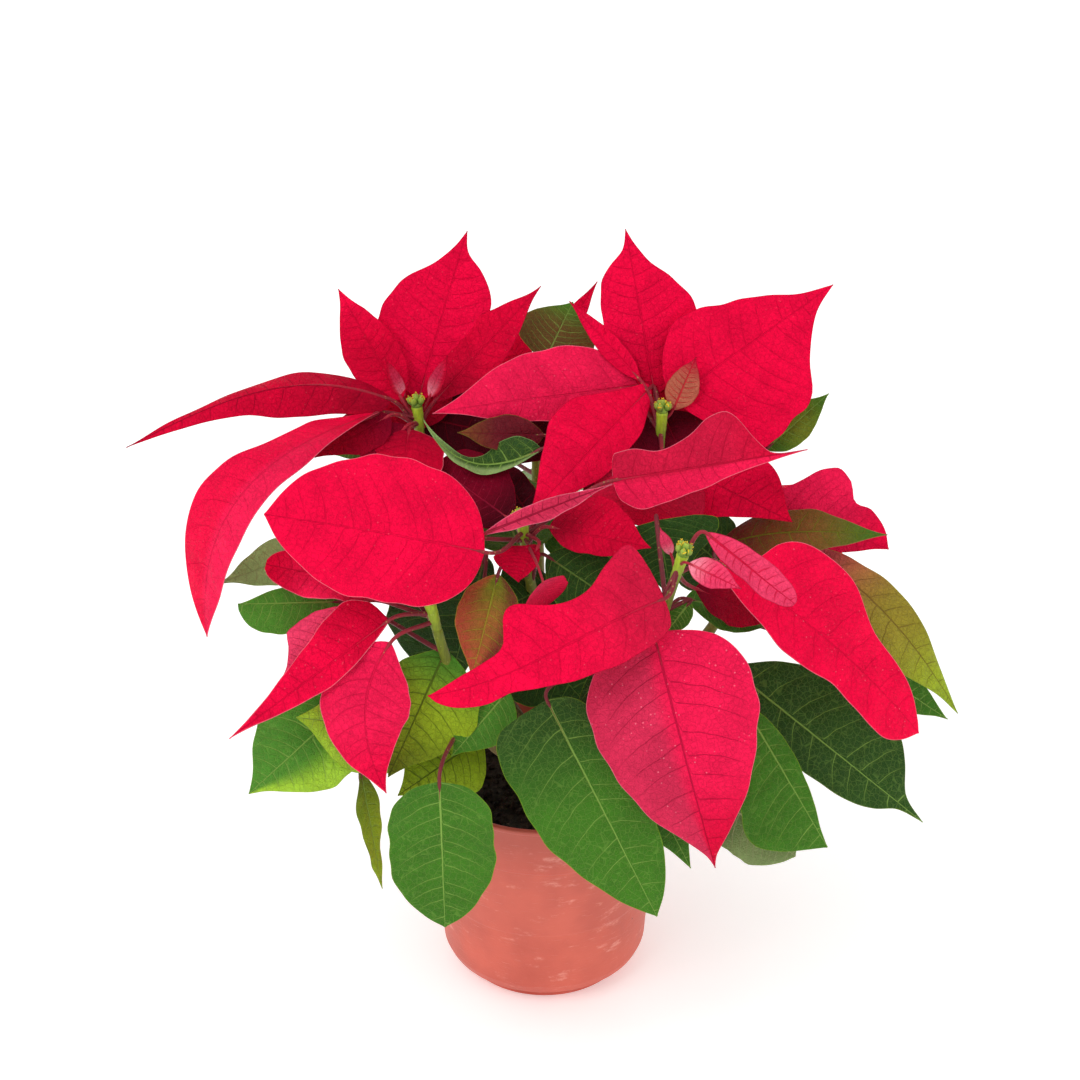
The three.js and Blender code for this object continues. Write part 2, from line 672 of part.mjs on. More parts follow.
function bladePoint(spec, frame, s, q) {
  const centre = frame.rib.getPoint(s);
  const forward = frame.rib.getTangent(s);
  const face = frame.face.clone();
  face.addScaledVector(forward, -face.dot(forward)).normalize();
  const right = forward.clone().cross(face);
  const side = q < 0 ? 0 : 1;
  const half = Array.isArray(spec.width) ? spec.width[side] : spec.width / 2;
  const outline = pair(spec.outline ?? "ovate")[side];
  const reach = Math.max(half * shareAt(OUTLINES[outline], s), NARROWEST);
  const fold = pair(spec.fold ?? 0)[side];
  const curl = pair(spec.curl ?? 0)[side];
  const angle = THREE.MathUtils.degToRad(fold + curl * Math.abs(q) * 0.5);
  const out = Math.abs(q) * reach;
  const ripple = Math.sin((s * RIPPLES + side * RIPPLE_SHIFT) * Math.PI * 2);
  const lift = out * Math.sin(angle) + (spec.wave ?? 0) * ripple * q * q * Math.sin(Math.PI * s);
  centre.addScaledVector(right, Math.sign(q) * out * Math.cos(angle));
  return centre.addScaledVector(face, lift);
}

function bladeRows(spec) {
  if (spec.small || spec.back) return SMALL_BLADE_ROWS;
  return spec.outline ? BLADE_ROWS : PLAIN_BLADE_ROWS;
}

function blade(spec) {
  const frame = bladeFrame(spec);
  const along = bladeRows(spec);
  const across = spec.curl || spec.wave ? CURLED_BLADE_CELLS : BLADE_CELLS;
  const grid = [];
  for (let i = 0; i <= along; i += 1) {
    const row = [];
    for (let j = 0; j <= across; j += 1) {
      row.push(bladePoint(spec, frame, i / along, (j / across) * 2 - 1));
    }
    grid.push(row);
  }
  const normalAt = (i, j) => {
    const ahead = grid[Math.min(i + 1, along)][j].clone().sub(grid[Math.max(i - 1, 0)][j]);
    const aside = grid[i][Math.min(j + 1, across)].clone().sub(grid[i][Math.max(j - 1, 0)]);
    return aside.cross(ahead).normalize();
  };
  const rows = grid.map((row, i) => {
    const half = BLADE_THICKNESS / 2;
    const upper = row.map((p, j) => p.clone().addScaledVector(normalAt(i, j), half));
    const lower = row.map((p, j) => p.clone().addScaledVector(normalAt(i, j), -half));
    return [...upper, ...lower.reverse()];
  });
  return solidOf(bladeSkin(rows, across));
}

function bladeSkin(rows, across) {
  // Both faces are split along the same diagonals, so that a waved blade never crosses itself.
  const around = 2 * (across + 1);
  const index = [];
  const at = (i, j) => i * around + j;
  const under = (i, j) => i * around + around - 1 - j;
  for (let i = 0; i + 1 < rows.length; i += 1) {
    for (let j = 0; j < across; j += 1) {
      index.push(at(i, j), at(i, j + 1), at(i + 1, j + 1), at(i, j), at(i + 1, j + 1), at(i + 1, j));
      index.push(under(i, j), under(i + 1, j + 1), under(i, j + 1));
      index.push(under(i, j), under(i + 1, j), under(i + 1, j + 1));
    }
    index.push(at(i, 0), at(i + 1, 0), under(i + 1, 0), at(i, 0), under(i + 1, 0), under(i, 0));
    index.push(at(i, across), under(i, across), under(i + 1, across));
    index.push(at(i, across), under(i + 1, across), at(i + 1, across));
  }
  for (const [i, flip] of [[0, false], [rows.length - 1, true]]) {
    for (let j = 0; j < across; j += 1) {
      const quad = [at(i, j), under(i, j), under(i, j + 1), at(i, j), under(i, j + 1), at(i, j + 1)];
      index.push(...(flip ? quad.reverse() : quad));
    }
  }
  const positions = rows.flat().flatMap((p) => [p.x, p.y, p.z]);
  const geometry = new THREE.BufferGeometry();
  geometry.setAttribute("position", new THREE.Float32BufferAttribute(positions, 3));
  geometry.setIndex(index);
  return geometry;
}

function petiole(spec, root, radius = PETIOLE_RADIUS) {
  // From inside the stem to a little way along the blade's rib.
  const { rib } = bladeFrame(spec);
  const start = rib.getPoint(0);
  const leave = rib.getPoint(PETIOLE_HOLD);
  const forward = rib.getTangent(0);
  const reach = Math.min(start.distanceTo(root) / 3, PETIOLE_BEND);
  const first = root.clone().lerp(start, 1 / 3);
  const second = start.clone().addScaledVector(forward, -reach);
  const path = new THREE.CurvePath();
  path.add(new THREE.CubicBezierCurve3(root, first, second, start));
  path.add(new THREE.LineCurve3(start, leave));
  const curve = new THREE.CatmullRomCurve3(path.getSpacedPoints(PETIOLE_STEPS * 2));
  return tube(curve, between(radius, radius * (1 - PETIOLE_TAPER)), PETIOLE_STEPS, PETIOLE_SIDES);
}

// ---------------------------------------------------------------- stems and blooms

const stemCurve = (key) => new THREE.CubicBezierCurve3(...STEMS[key].points.map(vec));
const between = (a, b) => (s) => a + (b - a) * s;
const branchRadius = between(BRANCH_RADIUS, BRANCH_TIP_RADIUS);

function trunk() {
  const foot = vec([0, 0, SOIL_TOP - TRUNK_DEPTH + CLEARANCE]);
  const path = new THREE.LineCurve3(foot, vec([0, 0, TRUNK_TOP]));
  const stock = tube(path, between(TRUNK_RADIUS, TRUNK_TOP_RADIUS), TRUNK_STEPS, TRUNK_SIDES);
  const stubs = Object.keys(STEMS).map((key) => (
    tube(stemCurve(key), branchRadius, STUB_STEPS, BRANCH_SIDES, 0, STEMS[key].stub)
  ));
  return fuse([stock, ...stubs]);
}

function leafyStem(key) {
  const curve = stemCurve(key);
  const length = curve.getLength();
  const from = STEMS[key].stub + CLEARANCE / length;
  const stem = tube(curve, branchRadius, BRANCH_STEPS, BRANCH_SIDES, from, 1);
  const leaves = LEAVES[key].flatMap((spec) => [blade(spec), petiole(spec, curve.getPoint(spec.node))]);
  return fuse([stem, ...leaves]);
}

function collarLine(key) {
  const curve = stemCurve(key);
  const up = curve.getTangent(1);
  const foot = curve.getPoint(1).addScaledVector(up, CLEARANCE);
  return { foot, up, top: foot.clone().addScaledVector(up, COLLAR_LENGTH) };
}

function bracts(key) {
  const { foot, up, top } = collarLine(key);
  const path = new THREE.LineCurve3(foot, top);
  const collar = tube(path, between(BRANCH_TIP_RADIUS, COLLAR_RADIUS), COLLAR_STEPS, BRANCH_SIDES);
  const leaves = BRACTS[key].flatMap((spec, i) => {
    const down = FIRST_PETIOLE_DROP + (i % PETIOLE_TIERS) * PETIOLE_DROP;
    const root = top.clone().addScaledVector(up, -down);
    return [blade(spec), petiole(spec, root, spec.small ? SMALL_PETIOLE_RADIUS : PETIOLE_RADIUS)];
  });
  return fuse([collar, ...leaves]);
}

function bud() {
  const bead = new THREE.SphereGeometry(BUD_RADIUS, BUD_SIDES, BUD_RINGS);
  bead.scale(1, 1, BUD_STRETCH);
  return bead;
}

function cyathia(key) {
  const { top, up } = collarLine(key);
  const turn = new THREE.Quaternion().setFromUnitVectors(new THREE.Vector3(0, 0, 1), up);
  const place = (geometry, x, y, z) => {
    geometry.translate(x, y, z);
    geometry.applyQuaternion(turn);
    geometry.translate(top.x, top.y, top.z);
    return solidOf(geometry);
  };
  const disc = new THREE.CylinderGeometry(DISC_RADIUS, DISC_RADIUS, DISC_HEIGHT, DISC_SIDES);
  disc.rotateX(Math.PI / 2);
  const beads = [place(disc, 0, 0, DISC_HEIGHT / 2 + CLEARANCE)];
  for (let i = 0; i < BUDS_AROUND; i += 1) {
    const angle = (i / BUDS_AROUND) * Math.PI * 2;
    const x = Math.cos(angle) * BUD_RING;
    const y = Math.sin(angle) * BUD_RING;
    beads.push(place(bud(), x, y, DISC_HEIGHT + BUD_SINK));
  }
  beads.push(place(bud(), 0, 0, DISC_HEIGHT + BUD_RISE));
  return fuse(beads);
}

// ---------------------------------------------------------------- pot and soil

const outerWall = (z) => POT_HEEL_RADIUS + POT_TAPER * (z - POT_HEEL_HEIGHT);

function turned(profile, sides) {
  const lathe = new THREE.LatheGeometry(profile.map(([r, z]) => new THREE.Vector2(r, z)), sides);
  lathe.rotateX(Math.PI / 2);
  return lathe;
}

function bore(radius, length, sides, x, y, z) {
  const hole = new THREE.CylinderGeometry(radius, radius, length, sides);
  hole.rotateX(Math.PI / 2);
  hole.translate(x, y, z);
  return solidOf(hole);
}

function pot() {
  const lip = POT_HEIGHT - POT_LIP_HEIGHT;
  const flare = POT_FOOT_HEIGHT + POT_FLARE_RISE;
  const bellyInside = POT_HEEL_RADIUS - POT_BELLY_INSET - POT_WALL;
  const outside = [
    [0, 0],
    [POT_FOOT_RADIUS - POT_FOOT_EDGE, 0],
    [POT_FOOT_RADIUS, POT_FOOT_EDGE],
    [POT_FOOT_RADIUS, POT_FOOT_HEIGHT],
    [POT_FOOT_RADIUS + POT_FOOT_FLARE, flare],
    [POT_HEEL_RADIUS - POT_BELLY_INSET, POT_BELLY_HEIGHT],
    [POT_HEEL_RADIUS, POT_HEEL_HEIGHT],
    [outerWall(POT_BAND_FOOT) - POT_BAND_PROUD, POT_BAND_FOOT],
    [outerWall(POT_BAND_FOOT), POT_BAND_FOOT + POT_BAND_STEP],
    [outerWall(lip), lip],
    [outerWall(lip) + POT_LIP_PROUD, lip + POT_LIP_STEP],
    [POT_RIM_RADIUS, POT_HEIGHT - POT_LIP_EDGE],
    [POT_RIM_RADIUS - POT_LIP_EDGE, POT_HEIGHT],
  ];
  const inside = [
    [outerWall(POT_HEIGHT) - POT_WALL, POT_HEIGHT],
    [outerWall(POT_BAND_FOOT) - POT_BAND_PROUD - POT_WALL, POT_BAND_FOOT],
    [POT_HEEL_RADIUS - POT_WALL, POT_HEEL_HEIGHT],
    [bellyInside, POT_BELLY_HEIGHT + POT_FOOT_EDGE],
    [POT_FOOT_RADIUS - POT_FLARE_RISE, POT_FLOOR],
    [0, POT_FLOOR],
  ];
  let solid = solidOf(turned([...outside, ...inside], POT_SIDES));
  for (let i = 0; i < DRAIN_COUNT; i += 1) {
    const angle = ((i + 0.5) / DRAIN_COUNT) * Math.PI * 2;
    const x = Math.cos(angle) * DRAIN_RING;
    const y = Math.sin(angle) * DRAIN_RING;
    solid = solid.subtract(bore(DRAIN_RADIUS, POT_FLOOR * 4, DRAIN_SIDES, x, y, 0));
  }
  return solid;
}

function crumbAt(x, y) {
  const [waveX, waveY] = SOIL_CRUMB_WAVE;
  return SOIL_CRUMB * Math.sin(x * waveX + 1) * Math.cos(y * waveY - 2);
}

function soil() {
  // The plug follows the inside of the pot at a small gap and has a low mound on top.
  const innerWall = (z) => outerWall(z) - POT_WALL - SOIL_GAP;
  const foot = POT_FLOOR + CLEARANCE;
  const edge = innerWall(SOIL_TOP) - SOIL_GAP;
  const profile = [
    [0, foot],
    [POT_FOOT_RADIUS - SOIL_INSET - SOIL_GAP, foot],
    [POT_HEEL_RADIUS - POT_BELLY_INSET - POT_WALL - SOIL_GAP, POT_BELLY_HEIGHT + POT_FOOT_EDGE + CLEARANCE],
    [POT_HEEL_RADIUS - POT_WALL - SOIL_GAP, POT_HEEL_HEIGHT + CLEARANCE],
    [innerWall(POT_BAND_FOOT) - POT_BAND_PROUD, POT_BAND_FOOT],
  ];
  for (let i = 0; i < SOIL_RINGS; i += 1) {
    const share = 1 - i / SOIL_RINGS;
    profile.push([edge * share, SOIL_TOP + SOIL_MOUND * (1 - share * share)]);
  }
  profile.push([0, SOIL_TOP + SOIL_MOUND]);
  const plug = turned(profile, SOIL_SIDES);
  const at = plug.attributes.position;
  for (let i = 0; i < at.count; i += 1) {
    const x = at.getX(i);
    const y = at.getY(i);
    const z = at.getZ(i);
    if (z >= SOIL_TOP && Math.hypot(x, y) > TRUNK_RADIUS) at.setZ(i, z + crumbAt(x, y));
  }
  const hole = bore(TRUNK_RADIUS + CLEARANCE, TRUNK_DEPTH * 2, TRUNK_SIDES * 2, 0, 0, SOIL_TOP);
  return solidOf(plug).subtract(hole);
}

// ---------------------------------------------------------------- the scene graph

const group = new THREE.Group();

function addPart(name, solid, colour, roughness) {
  const material = new THREE.MeshStandardMaterial({ color: colour, roughness, metalness: 0 });
  const mesh = new THREE.Mesh(geometryOf(solid), material);
  mesh.name = name;
  group.add(mesh);
}

addPart("pot", pot(), COLOURS.pot, 0.5);
addPart("soil", soil(), COLOURS.soil, 1);
addPart("trunk", trunk(), COLOURS.wood, 0.8);
for (const key of Object.keys(STEMS)) {
  addPart(`leafy_stem_${key}`, leafyStem(key), COLOURS.green, 0.6);
  addPart(`bracts_${key}`, bracts(key), COLOURS.red, 0.6);
  addPart(`cyathia_${key}`, cyathia(key), COLOURS.bud, 0.5);
}

export default group;
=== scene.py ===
"""A flowering poinsettia in its round nursery pot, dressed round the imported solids.

The tables are in millimetres, as in the CAD source, and the meshes in metres.
+Z is up, the origin is the centre of the pot's base, and -Y is the plant's front.
"""

import math
import random

import bpy
import numpy as np
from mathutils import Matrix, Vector


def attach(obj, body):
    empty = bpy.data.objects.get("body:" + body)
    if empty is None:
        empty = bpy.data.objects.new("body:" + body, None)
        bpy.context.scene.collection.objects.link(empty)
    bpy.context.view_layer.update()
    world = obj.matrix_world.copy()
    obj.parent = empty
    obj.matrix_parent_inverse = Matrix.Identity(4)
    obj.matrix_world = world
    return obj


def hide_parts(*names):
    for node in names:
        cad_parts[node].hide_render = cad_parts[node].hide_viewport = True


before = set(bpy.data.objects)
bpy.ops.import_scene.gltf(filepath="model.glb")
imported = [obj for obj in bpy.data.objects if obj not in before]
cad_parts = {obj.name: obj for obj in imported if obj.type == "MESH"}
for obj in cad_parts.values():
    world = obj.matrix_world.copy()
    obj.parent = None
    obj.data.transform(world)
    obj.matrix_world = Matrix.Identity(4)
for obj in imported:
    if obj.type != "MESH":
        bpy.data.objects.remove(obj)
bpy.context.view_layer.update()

MM = 0.001
TURN = 2 * math.pi

# ---- camera, in mm and degrees, and floor and lights, in metres

CAMERA_TARGET = (-2.4, 0, 258)
CAMERA_DISTANCE = 1150
CAMERA_ELEVATION = 28
CAMERA_LENS = 75
CAMERA_SENSOR = 36
CAMERA_NEAR, CAMERA_FAR = 0.05, 50
FLOOR_REACH = 6.0
FLOOR_GLOW = 0.26
WORLD_STRENGTH = 0.92
LIGHT_TARGET = (0, 0, 0.22)
LIGHTS = {
    "key": {"place": (-1.1, -1.2, 1.9), "size": 1.3, "power": 14.5},
    "fill": {"place": (1.4, -0.9, 1.2), "size": 1.8, "power": 1.6},
}

# ---- driving dimensions, mm

POT_HEIGHT = 122
POT_RIM_RADIUS = 65
POT_FOOT_RADIUS = 46
POT_FOOT_INSET = 1
POT_HEEL_RADIUS = 56
POT_HEEL_HEIGHT = 14
POT_HEEL_ROUNDING = 2.2
POT_BAND_HEIGHT = 30
POT_BAND_PROUD = 0.9
POT_LIP_HEIGHT = 3
POT_LIP_PROUD = 1.2
POT_WALL = 1.8
POT_FLOOR = 2.2
POT_STEP_HEIGHT = 50
POT_STEP_PROUD = 0.35
POT_SIDES = 144
DRAIN_COUNT = 6
DRAIN_RADIUS = 4
DRAIN_RING = 31
DRAIN_SIDES = 24

SOIL_TOP = 104
SOIL_MOUND = 3
SOIL_SIDES = 120
SOIL_RINGS = 42
SOIL_INSET = 0.6
CRUMB_COUNT = 620
CRUMB_SIZES = (0.7, 0.9, 1.1, 1.4, 2.1)
CLEARANCE = 0.3

TRUNK_RADIUS = 6
TRUNK_TOP_RADIUS = 4.6
TRUNK_TOP = 156
TRUNK_DEPTH = 34
BRANCH_RADIUS = 4
BRANCH_TIP_RADIUS = 2.5
STEM_SIDES = 18
STEM_STEPS = 46
STUB_STEPS = 14
COLLAR_STEPS = 16
COLLAR_LENGTH = 16
COLLAR_RADIUS = 3
BRACT_DROP = 6
BRACT_DROP_STEP = 2.5
PETIOLE_RADIUS = 1.3
SMALL_PETIOLE_RADIUS = 0.9
PETIOLE_BEND = 14
PETIOLE_STEPS = 18
PETIOLE_SIDES = 10
RIB_REACH = 0.86
RIB_END_RADIUS = 0.18
RIB_SUNK = 0.45

ROW_LENGTH, FEWEST_ROWS, MOST_ROWS = 1.7, 22, 72
CELL_WIDTH, FEWEST_CELLS, MOST_CELLS = 3.0, 7, 15
BLADE_THICKNESS = 0.5
MARGIN_THICKNESS = 0.22
NARROWEST = 0.3
ROUNDED_BASE = 0.03
RIPPLES = 2.5
UNEVEN = 0.022
VEINS_PER_SIDE = 10.5
VEIN_LEAN = 0.2
VEIN_CURVE = 0.38
GUTTER_DEPTH = 0.7
GUTTER_WIDTH = 2.4
QUILT_DEPTH = 0.8
SWAY = 1.02

CUP_RING = 5
CUP_TILT = 0.42
CUP_REACH = 2.1

# ---- tables, read as plain and named words. A slash parts left from right, or near from far


def value_of(text):
    """A number, a word, or a tuple of them."""
    if "/" in text:
        return tuple(value_of(part) for part in text.split("/"))
    return text if text[0].isalpha() else float(text)


def read_rows(table):
    """Each row's plain values, and its named ones."""
    for line in table.strip().splitlines():
        words = line.split()
        plain = [value_of(word) for word in words if "=" not in word]
        named = dict(word.split("=") for word in words if "=" in word)
        yield plain, {name: value_of(text) for name, text in named.items()}


def colour(red, green, blue):
    """The linear colour of three sRGB bytes."""
    shares = np.array([red, green, blue]) / 255
    return np.where(shares <= 0.04045, shares / 12.92, ((shares + 0.055) / 1.055) ** 2.4)


# shadow is painted shade: the bracts painted with it, A9, B8, B9, C7 and C8, are dark sheets that stand
# for the shaded hollows between the blooms. wine and garnet are partly painted shade on the inner
# bracts, and their own colour where they tint veins and stalks.
PALETTE_ROWS = """
scarlet 244 6 64
crimson 212 2 50
garnet 170 6 42
wine 122 4 34
dusk 210 48 84
ruby 206 24 62
shadow 66 6 20
cherry 247 28 80
rose 246 66 108
blush 255 150 170
leaf 58 114 22
grass 76 140 42
mint 166 214 130
citron 178 222 58
deep 34 70 18
blue_green 58 108 44
sage 150 176 110
lime 158 186 36
olive 112 124 24
straw 196 192 100
brown 128 74 32
rust 180 66 52
copper 166 98 48
amber 158 142 42
umber 104 66 30
tan 200 118 92
maroon 112 24 36
pale_vein 146 184 84
dark_vein 70 86 20
ivory 212 214 160
bark 122 98 66
bud 150 176 60
gland 226 196 40
"""
PALETTE = {name: colour(*shades) for (name, *shades), _ in read_rows(PALETTE_ROWS)}

# Place along the rib and half width, in turn, both as shares of the greatest.
OUTLINE_ROWS = """
ovate  0 .08  .08 .45  .2 .84  .38 1  .56 .9  .74 .58  .88 .22  1 0
oval  0 .3  .06 .62  .18 .9  .42 1  .64 .93  .82 .66  .93 .34  1 0
spade  0 .3  .06 .72  .16 .97  .32 1  .52 .88  .72 .58  .86 .26  .94 .07  1 0
lance  0 .08  .12 .5  .28 .92  .44 1  .62 .8  .78 .46  .9 .16  1 0
angular  0 .08  .14 .55  .3 .86  .5 .98  .68 1  .82 .64  .92 .24  1 0
lobed  0 .25  .16 .62  .3 .92  .42 1  .52 .86  .6 .56  .78 .5  .92 .28  1 0
eared  0 .8  .05 1  .14 .84  .24 .64  .34 .6  .46 .76  .56 .92  .61 .82  .66 .42  .76 .3  .88 .18  1 0
blunt  0 .12  .12 .5  .3 .86  .52 1  .74 .96  .9 .74  .97 .46  1 .2
sail  0 .5  .12 .54  .23 .45  .33 .5  .44 .68  .52 .88  .61 1  .67 .83  .75 .35  .82 .06  1 0
tailed  0 .4  .1 .8  .28 1  .42 .94  .56 .62  .72 .36  .88 .14  1 0
broad  0 .3  .1 .75  .22 1  .36 1  .5 .8  .68 .52  .84 .2  1 0
shoulder  0 .1  .15 .5  .35 .86  .54 1  .65 .95  .72 .64  .86 .22  1 0
full  0 .1  .12 .3  .24 .54  .36 .8  .58 .94  .72 1  .87 .7  1 0
drawn  0 .08  .08 .45  .2 .84  .4 1  .55 .92  .67 .68  .78 .34  .9 .12  1 0
squared  0 .1  .15 .6  .35 .92  .54 1  .7 .9  .8 .58  .88 .18  1 0
hatchet  0 .1  .1 .54  .18 .86  .25 1  .42 .9  .6 .81  .68 .52  .77 .29  .86 .12  1 0
wedge  0 .55  .1 .98  .2 1  .42 .74  .6 .44  .8 .18  1 0
hooked  0 .6  .08 .85  .3 1  .45 .86  .6 .6  .7 .46  .8 .52  .9 .42  .97 .2  1 0
scythe  0 .2  .07 .42  .15 .63  .24 .6  .33 .62  .42 .7  .55 .92  .68 1  .8 .9  .9 .58  1 0
shield  0 .1  .11 .29  .17 .72  .26 .98  .36 1  .465 1  .575 .75  .665 .58  .79 .46  .9 .31  .97 .12  1 0
waisted  0 .2  .12 .55  .24 .8  .35 1  .5 .92  .6 .8  .7 .85  .8 .93  .88 .88  .95 .5  1 0
heart  0 .62  .05 .86  .14 .98  .3 1  .5 .93  .7 .72  .86 .4  .95 .16  1 0
tucked  0 .1  .12 .3  .24 .52  .36 .76  .5 .9  .6 .86  .74 .56  .88 .22  1 0
scoop  0 .3  .1 .9  .2 1  .32 .84  .44 .4  .6 .2  .85 .14  1 0
"""
OUTLINES = {
    name: np.reshape(numbers, (-1, 2)).T for (name, *numbers), _ in read_rows(OUTLINE_ROWS)
}

# A branch, the share of its stem that the trunk carries, and the four points of its curve.
STEM_ROWS = """
A .24  -2 2 132  -40 25 165  -60 42 235  -65 49 293
B .24  3 2 136  38 26 160  58 46 225  60.5 49.5 290
C .2  0 -1 150  0 -6 185  -6 -18 230  -9.5 -19.8 263
D .24  -2 -4 128  -28 -34 140  -44 -57 195  -53 -60 240
E .22  3 -3 130  40 -40 150  48 -60 212  62 -69 272
F .24  4 1 126  60 -2 150  96 14 200  115 34 246
G .22  0 4 140  -2 50 165  -4 95 220  -5 110 284
"""
STEMS = {
    key: (np.reshape(numbers, (4, 3)), stub) for (key, stub, *numbers), _ in read_rows(STEM_ROWS)
}

# Branch, name, for a leaf the share of the stem at which its stalk leaves it, the base's x y z, the
# tip's, the way that the face looks, the width, and what differs from a flat ovate blade: arch
# and bow lift and bend the rib, fold and curl are degrees, wave is mm, and small has a thin stalk.
BRACT_ROWS = """
A A1  -66 61 309  -40 86 393  .1 -1 .35  32/23  arch=-4/-8 outline=drawn/squared
A A2  -74 50 314  -107 76 365  .2 -1 .2  16/13
A A3  -58 56 310  -2 80 365  -.2 -.9 .6  17/13  outline=lance fold=-12/6
A A4  -79 48 315  -215 28 297  0 -.3 1  16/12  arch=38/18 fold=-44/-12 outline=tailed
A A5  -86 42 311  -170 -38 223  -.4 -.5 .75  17/25  arch=66/76 outline=full/scythe bow=-28/2
A A6  -70 38 303  -72 -12 276  0 -.3 1  20/23  arch=8/8
A A7  -80 42 309  -116 6 302  .1 -.5 .9  26
A a1  -73 52 314  -82 50 337  .3 -1 .2  7  small=1
A a2  -60 52 314  -50 52 338  -.3 -1 .2  8  small=1
A A8  -71 40 304  -94 6 296  .1 -.5 .9  26
A A9  -72 68 297  12 53 285  0 -.8 .6  23/17  outline=oval
A A10  -67 60 292  -76 76 336  0 -1 .3  44  outline=oval
B B1  58 63 311  42 92 392  0 -1 .3  20/29  outline=squared/drawn
B B2  67 56 312  149 72 369  0 -.9 .4  31/50  outline=broad/hatchet
B B9  62 64 301  84 30 262  0 -.7 .7  24/8
B B3  53 66 316  -57 24 318  0 -.75 .66  13/26  fold=-15/5 arch=-4/6
B B4  56 62 316  -8 -31 288  .3 -.85 .4  15/30  outline=ovate/tucked
B B6  62 40 285  125 -8 272.5  0 -.75 .66  22/31  outline=angular/wedge
B B7  50 61 320  13 84 355  0 -1 .3  12
B B8  52 57 303  20 24 274  0 -.7 .7  50
B b1  67 52 307  78 52 337  0 -1 .2  17  small=1
B B10  60 63 290  60 76 336  0 -1 .3  44  outline=oval
B B11  60 30 290  48 -17 275  0 -.7 .7  58  outline=blunt
C C1  -29 -54 280  -133 -70 309  0 -.8 .6  33/40  arch=8/8 fold=-6 curl=-16 outline=oval
C B5  34 -12 298  130 -12 315  0 -.7 .7  26/16  fold=10/-10 outline=sail/wedge
C C3  -30 -37 281.4  33 -30 305  0 -.6 .8  5/7  fold=20 outline=lance
C C4  2 -27 280  52 -44 277  0 -.6 .8  22/11
C C5  -3 -30 271  -13 -48 260  0 -.8 .6  4/17  outline=lance/full
C C6  -1 -60 267  2 -73 262  -.5 -.7 .5  26  small=1 outline=blunt
C C7  -17 -16 278  -56 18 292  0 -.6 .8  42  outline=blunt
C C8  -7 -8 275  -26 34 286  0 -.7 .7  26/10  outline=oval
D D1  -76 -68 250  -153 -98 201  -.2 -.8 .5  9/20  outline=lance/wedge
D D4  -92 -60 253  -130 -69 216.5  -.1 -.9 .4  10/15  outline=lance/shoulder
D D2  -75 -74 241  -77 -108 176  -.1 -.85 .5  44  bow=17/14
D D3  -71 -54 259  -137 -46 269  0 -.7 .7  24  wave=3 outline=blunt
E E1  52 -86 253.6  83 -122 142  0 -.98 .2  82  arch=16/22 fold=-5 curl=-14 outline=spade
E E2  57 -82 270  -55 -118 238  0 -.75 .66  20/31  outline=hooked/eared arch=10/4 bow=0/-12
E E3  84 -60 278  188 -62 181  .3 -.6 .7  37/21  arch=8/8 outline=shield/waisted bow=-4/-4
E e1  61 -61 282  55 -63 298  0 -1 .2  6  small=1
E e2  68 -80 288  92 -94 282  0 -.8 .6  14  fold=15 small=1
E e3  77 -66 297  117 -98 276  0 -.7 .7  16  fold=15 outline=blunt
E E5  74 -52 259  116 -38 232  0 -.6 .8  24
F E4  120 32 262  179 16 244  0 -.8 .6  31/14  outline=lobed/ovate
F F2  117 46 256  115 112 220  0 .3 1  36  arch=14/12
F F3  124 44 258  160 80 220  .4 .3 1  34  arch=10/10
F F4  126 36 252  168 42 204  .5 0 1  26  arch=12/12
G G1  -3 122 297  29 140 344  0 -1 .4  14
G G2  -9 122 297  -32 135 330  0 -1 .4  20
G G3  -14 122 294  -70 165 275  0 .2 1  40  arch=12/10
G G4  -4 124 294  0 195 260  0 .3 1  46  arch=14/14
G G5  4 120 294  65 170 265  .2 .2 1  42  arch=12/12
G G6  -15 112 296  -75 120 290  0 0 1  34  arch=8/8
G G7  6 112 296  70 125 285  0 0 1  34  arch=8/8
"""
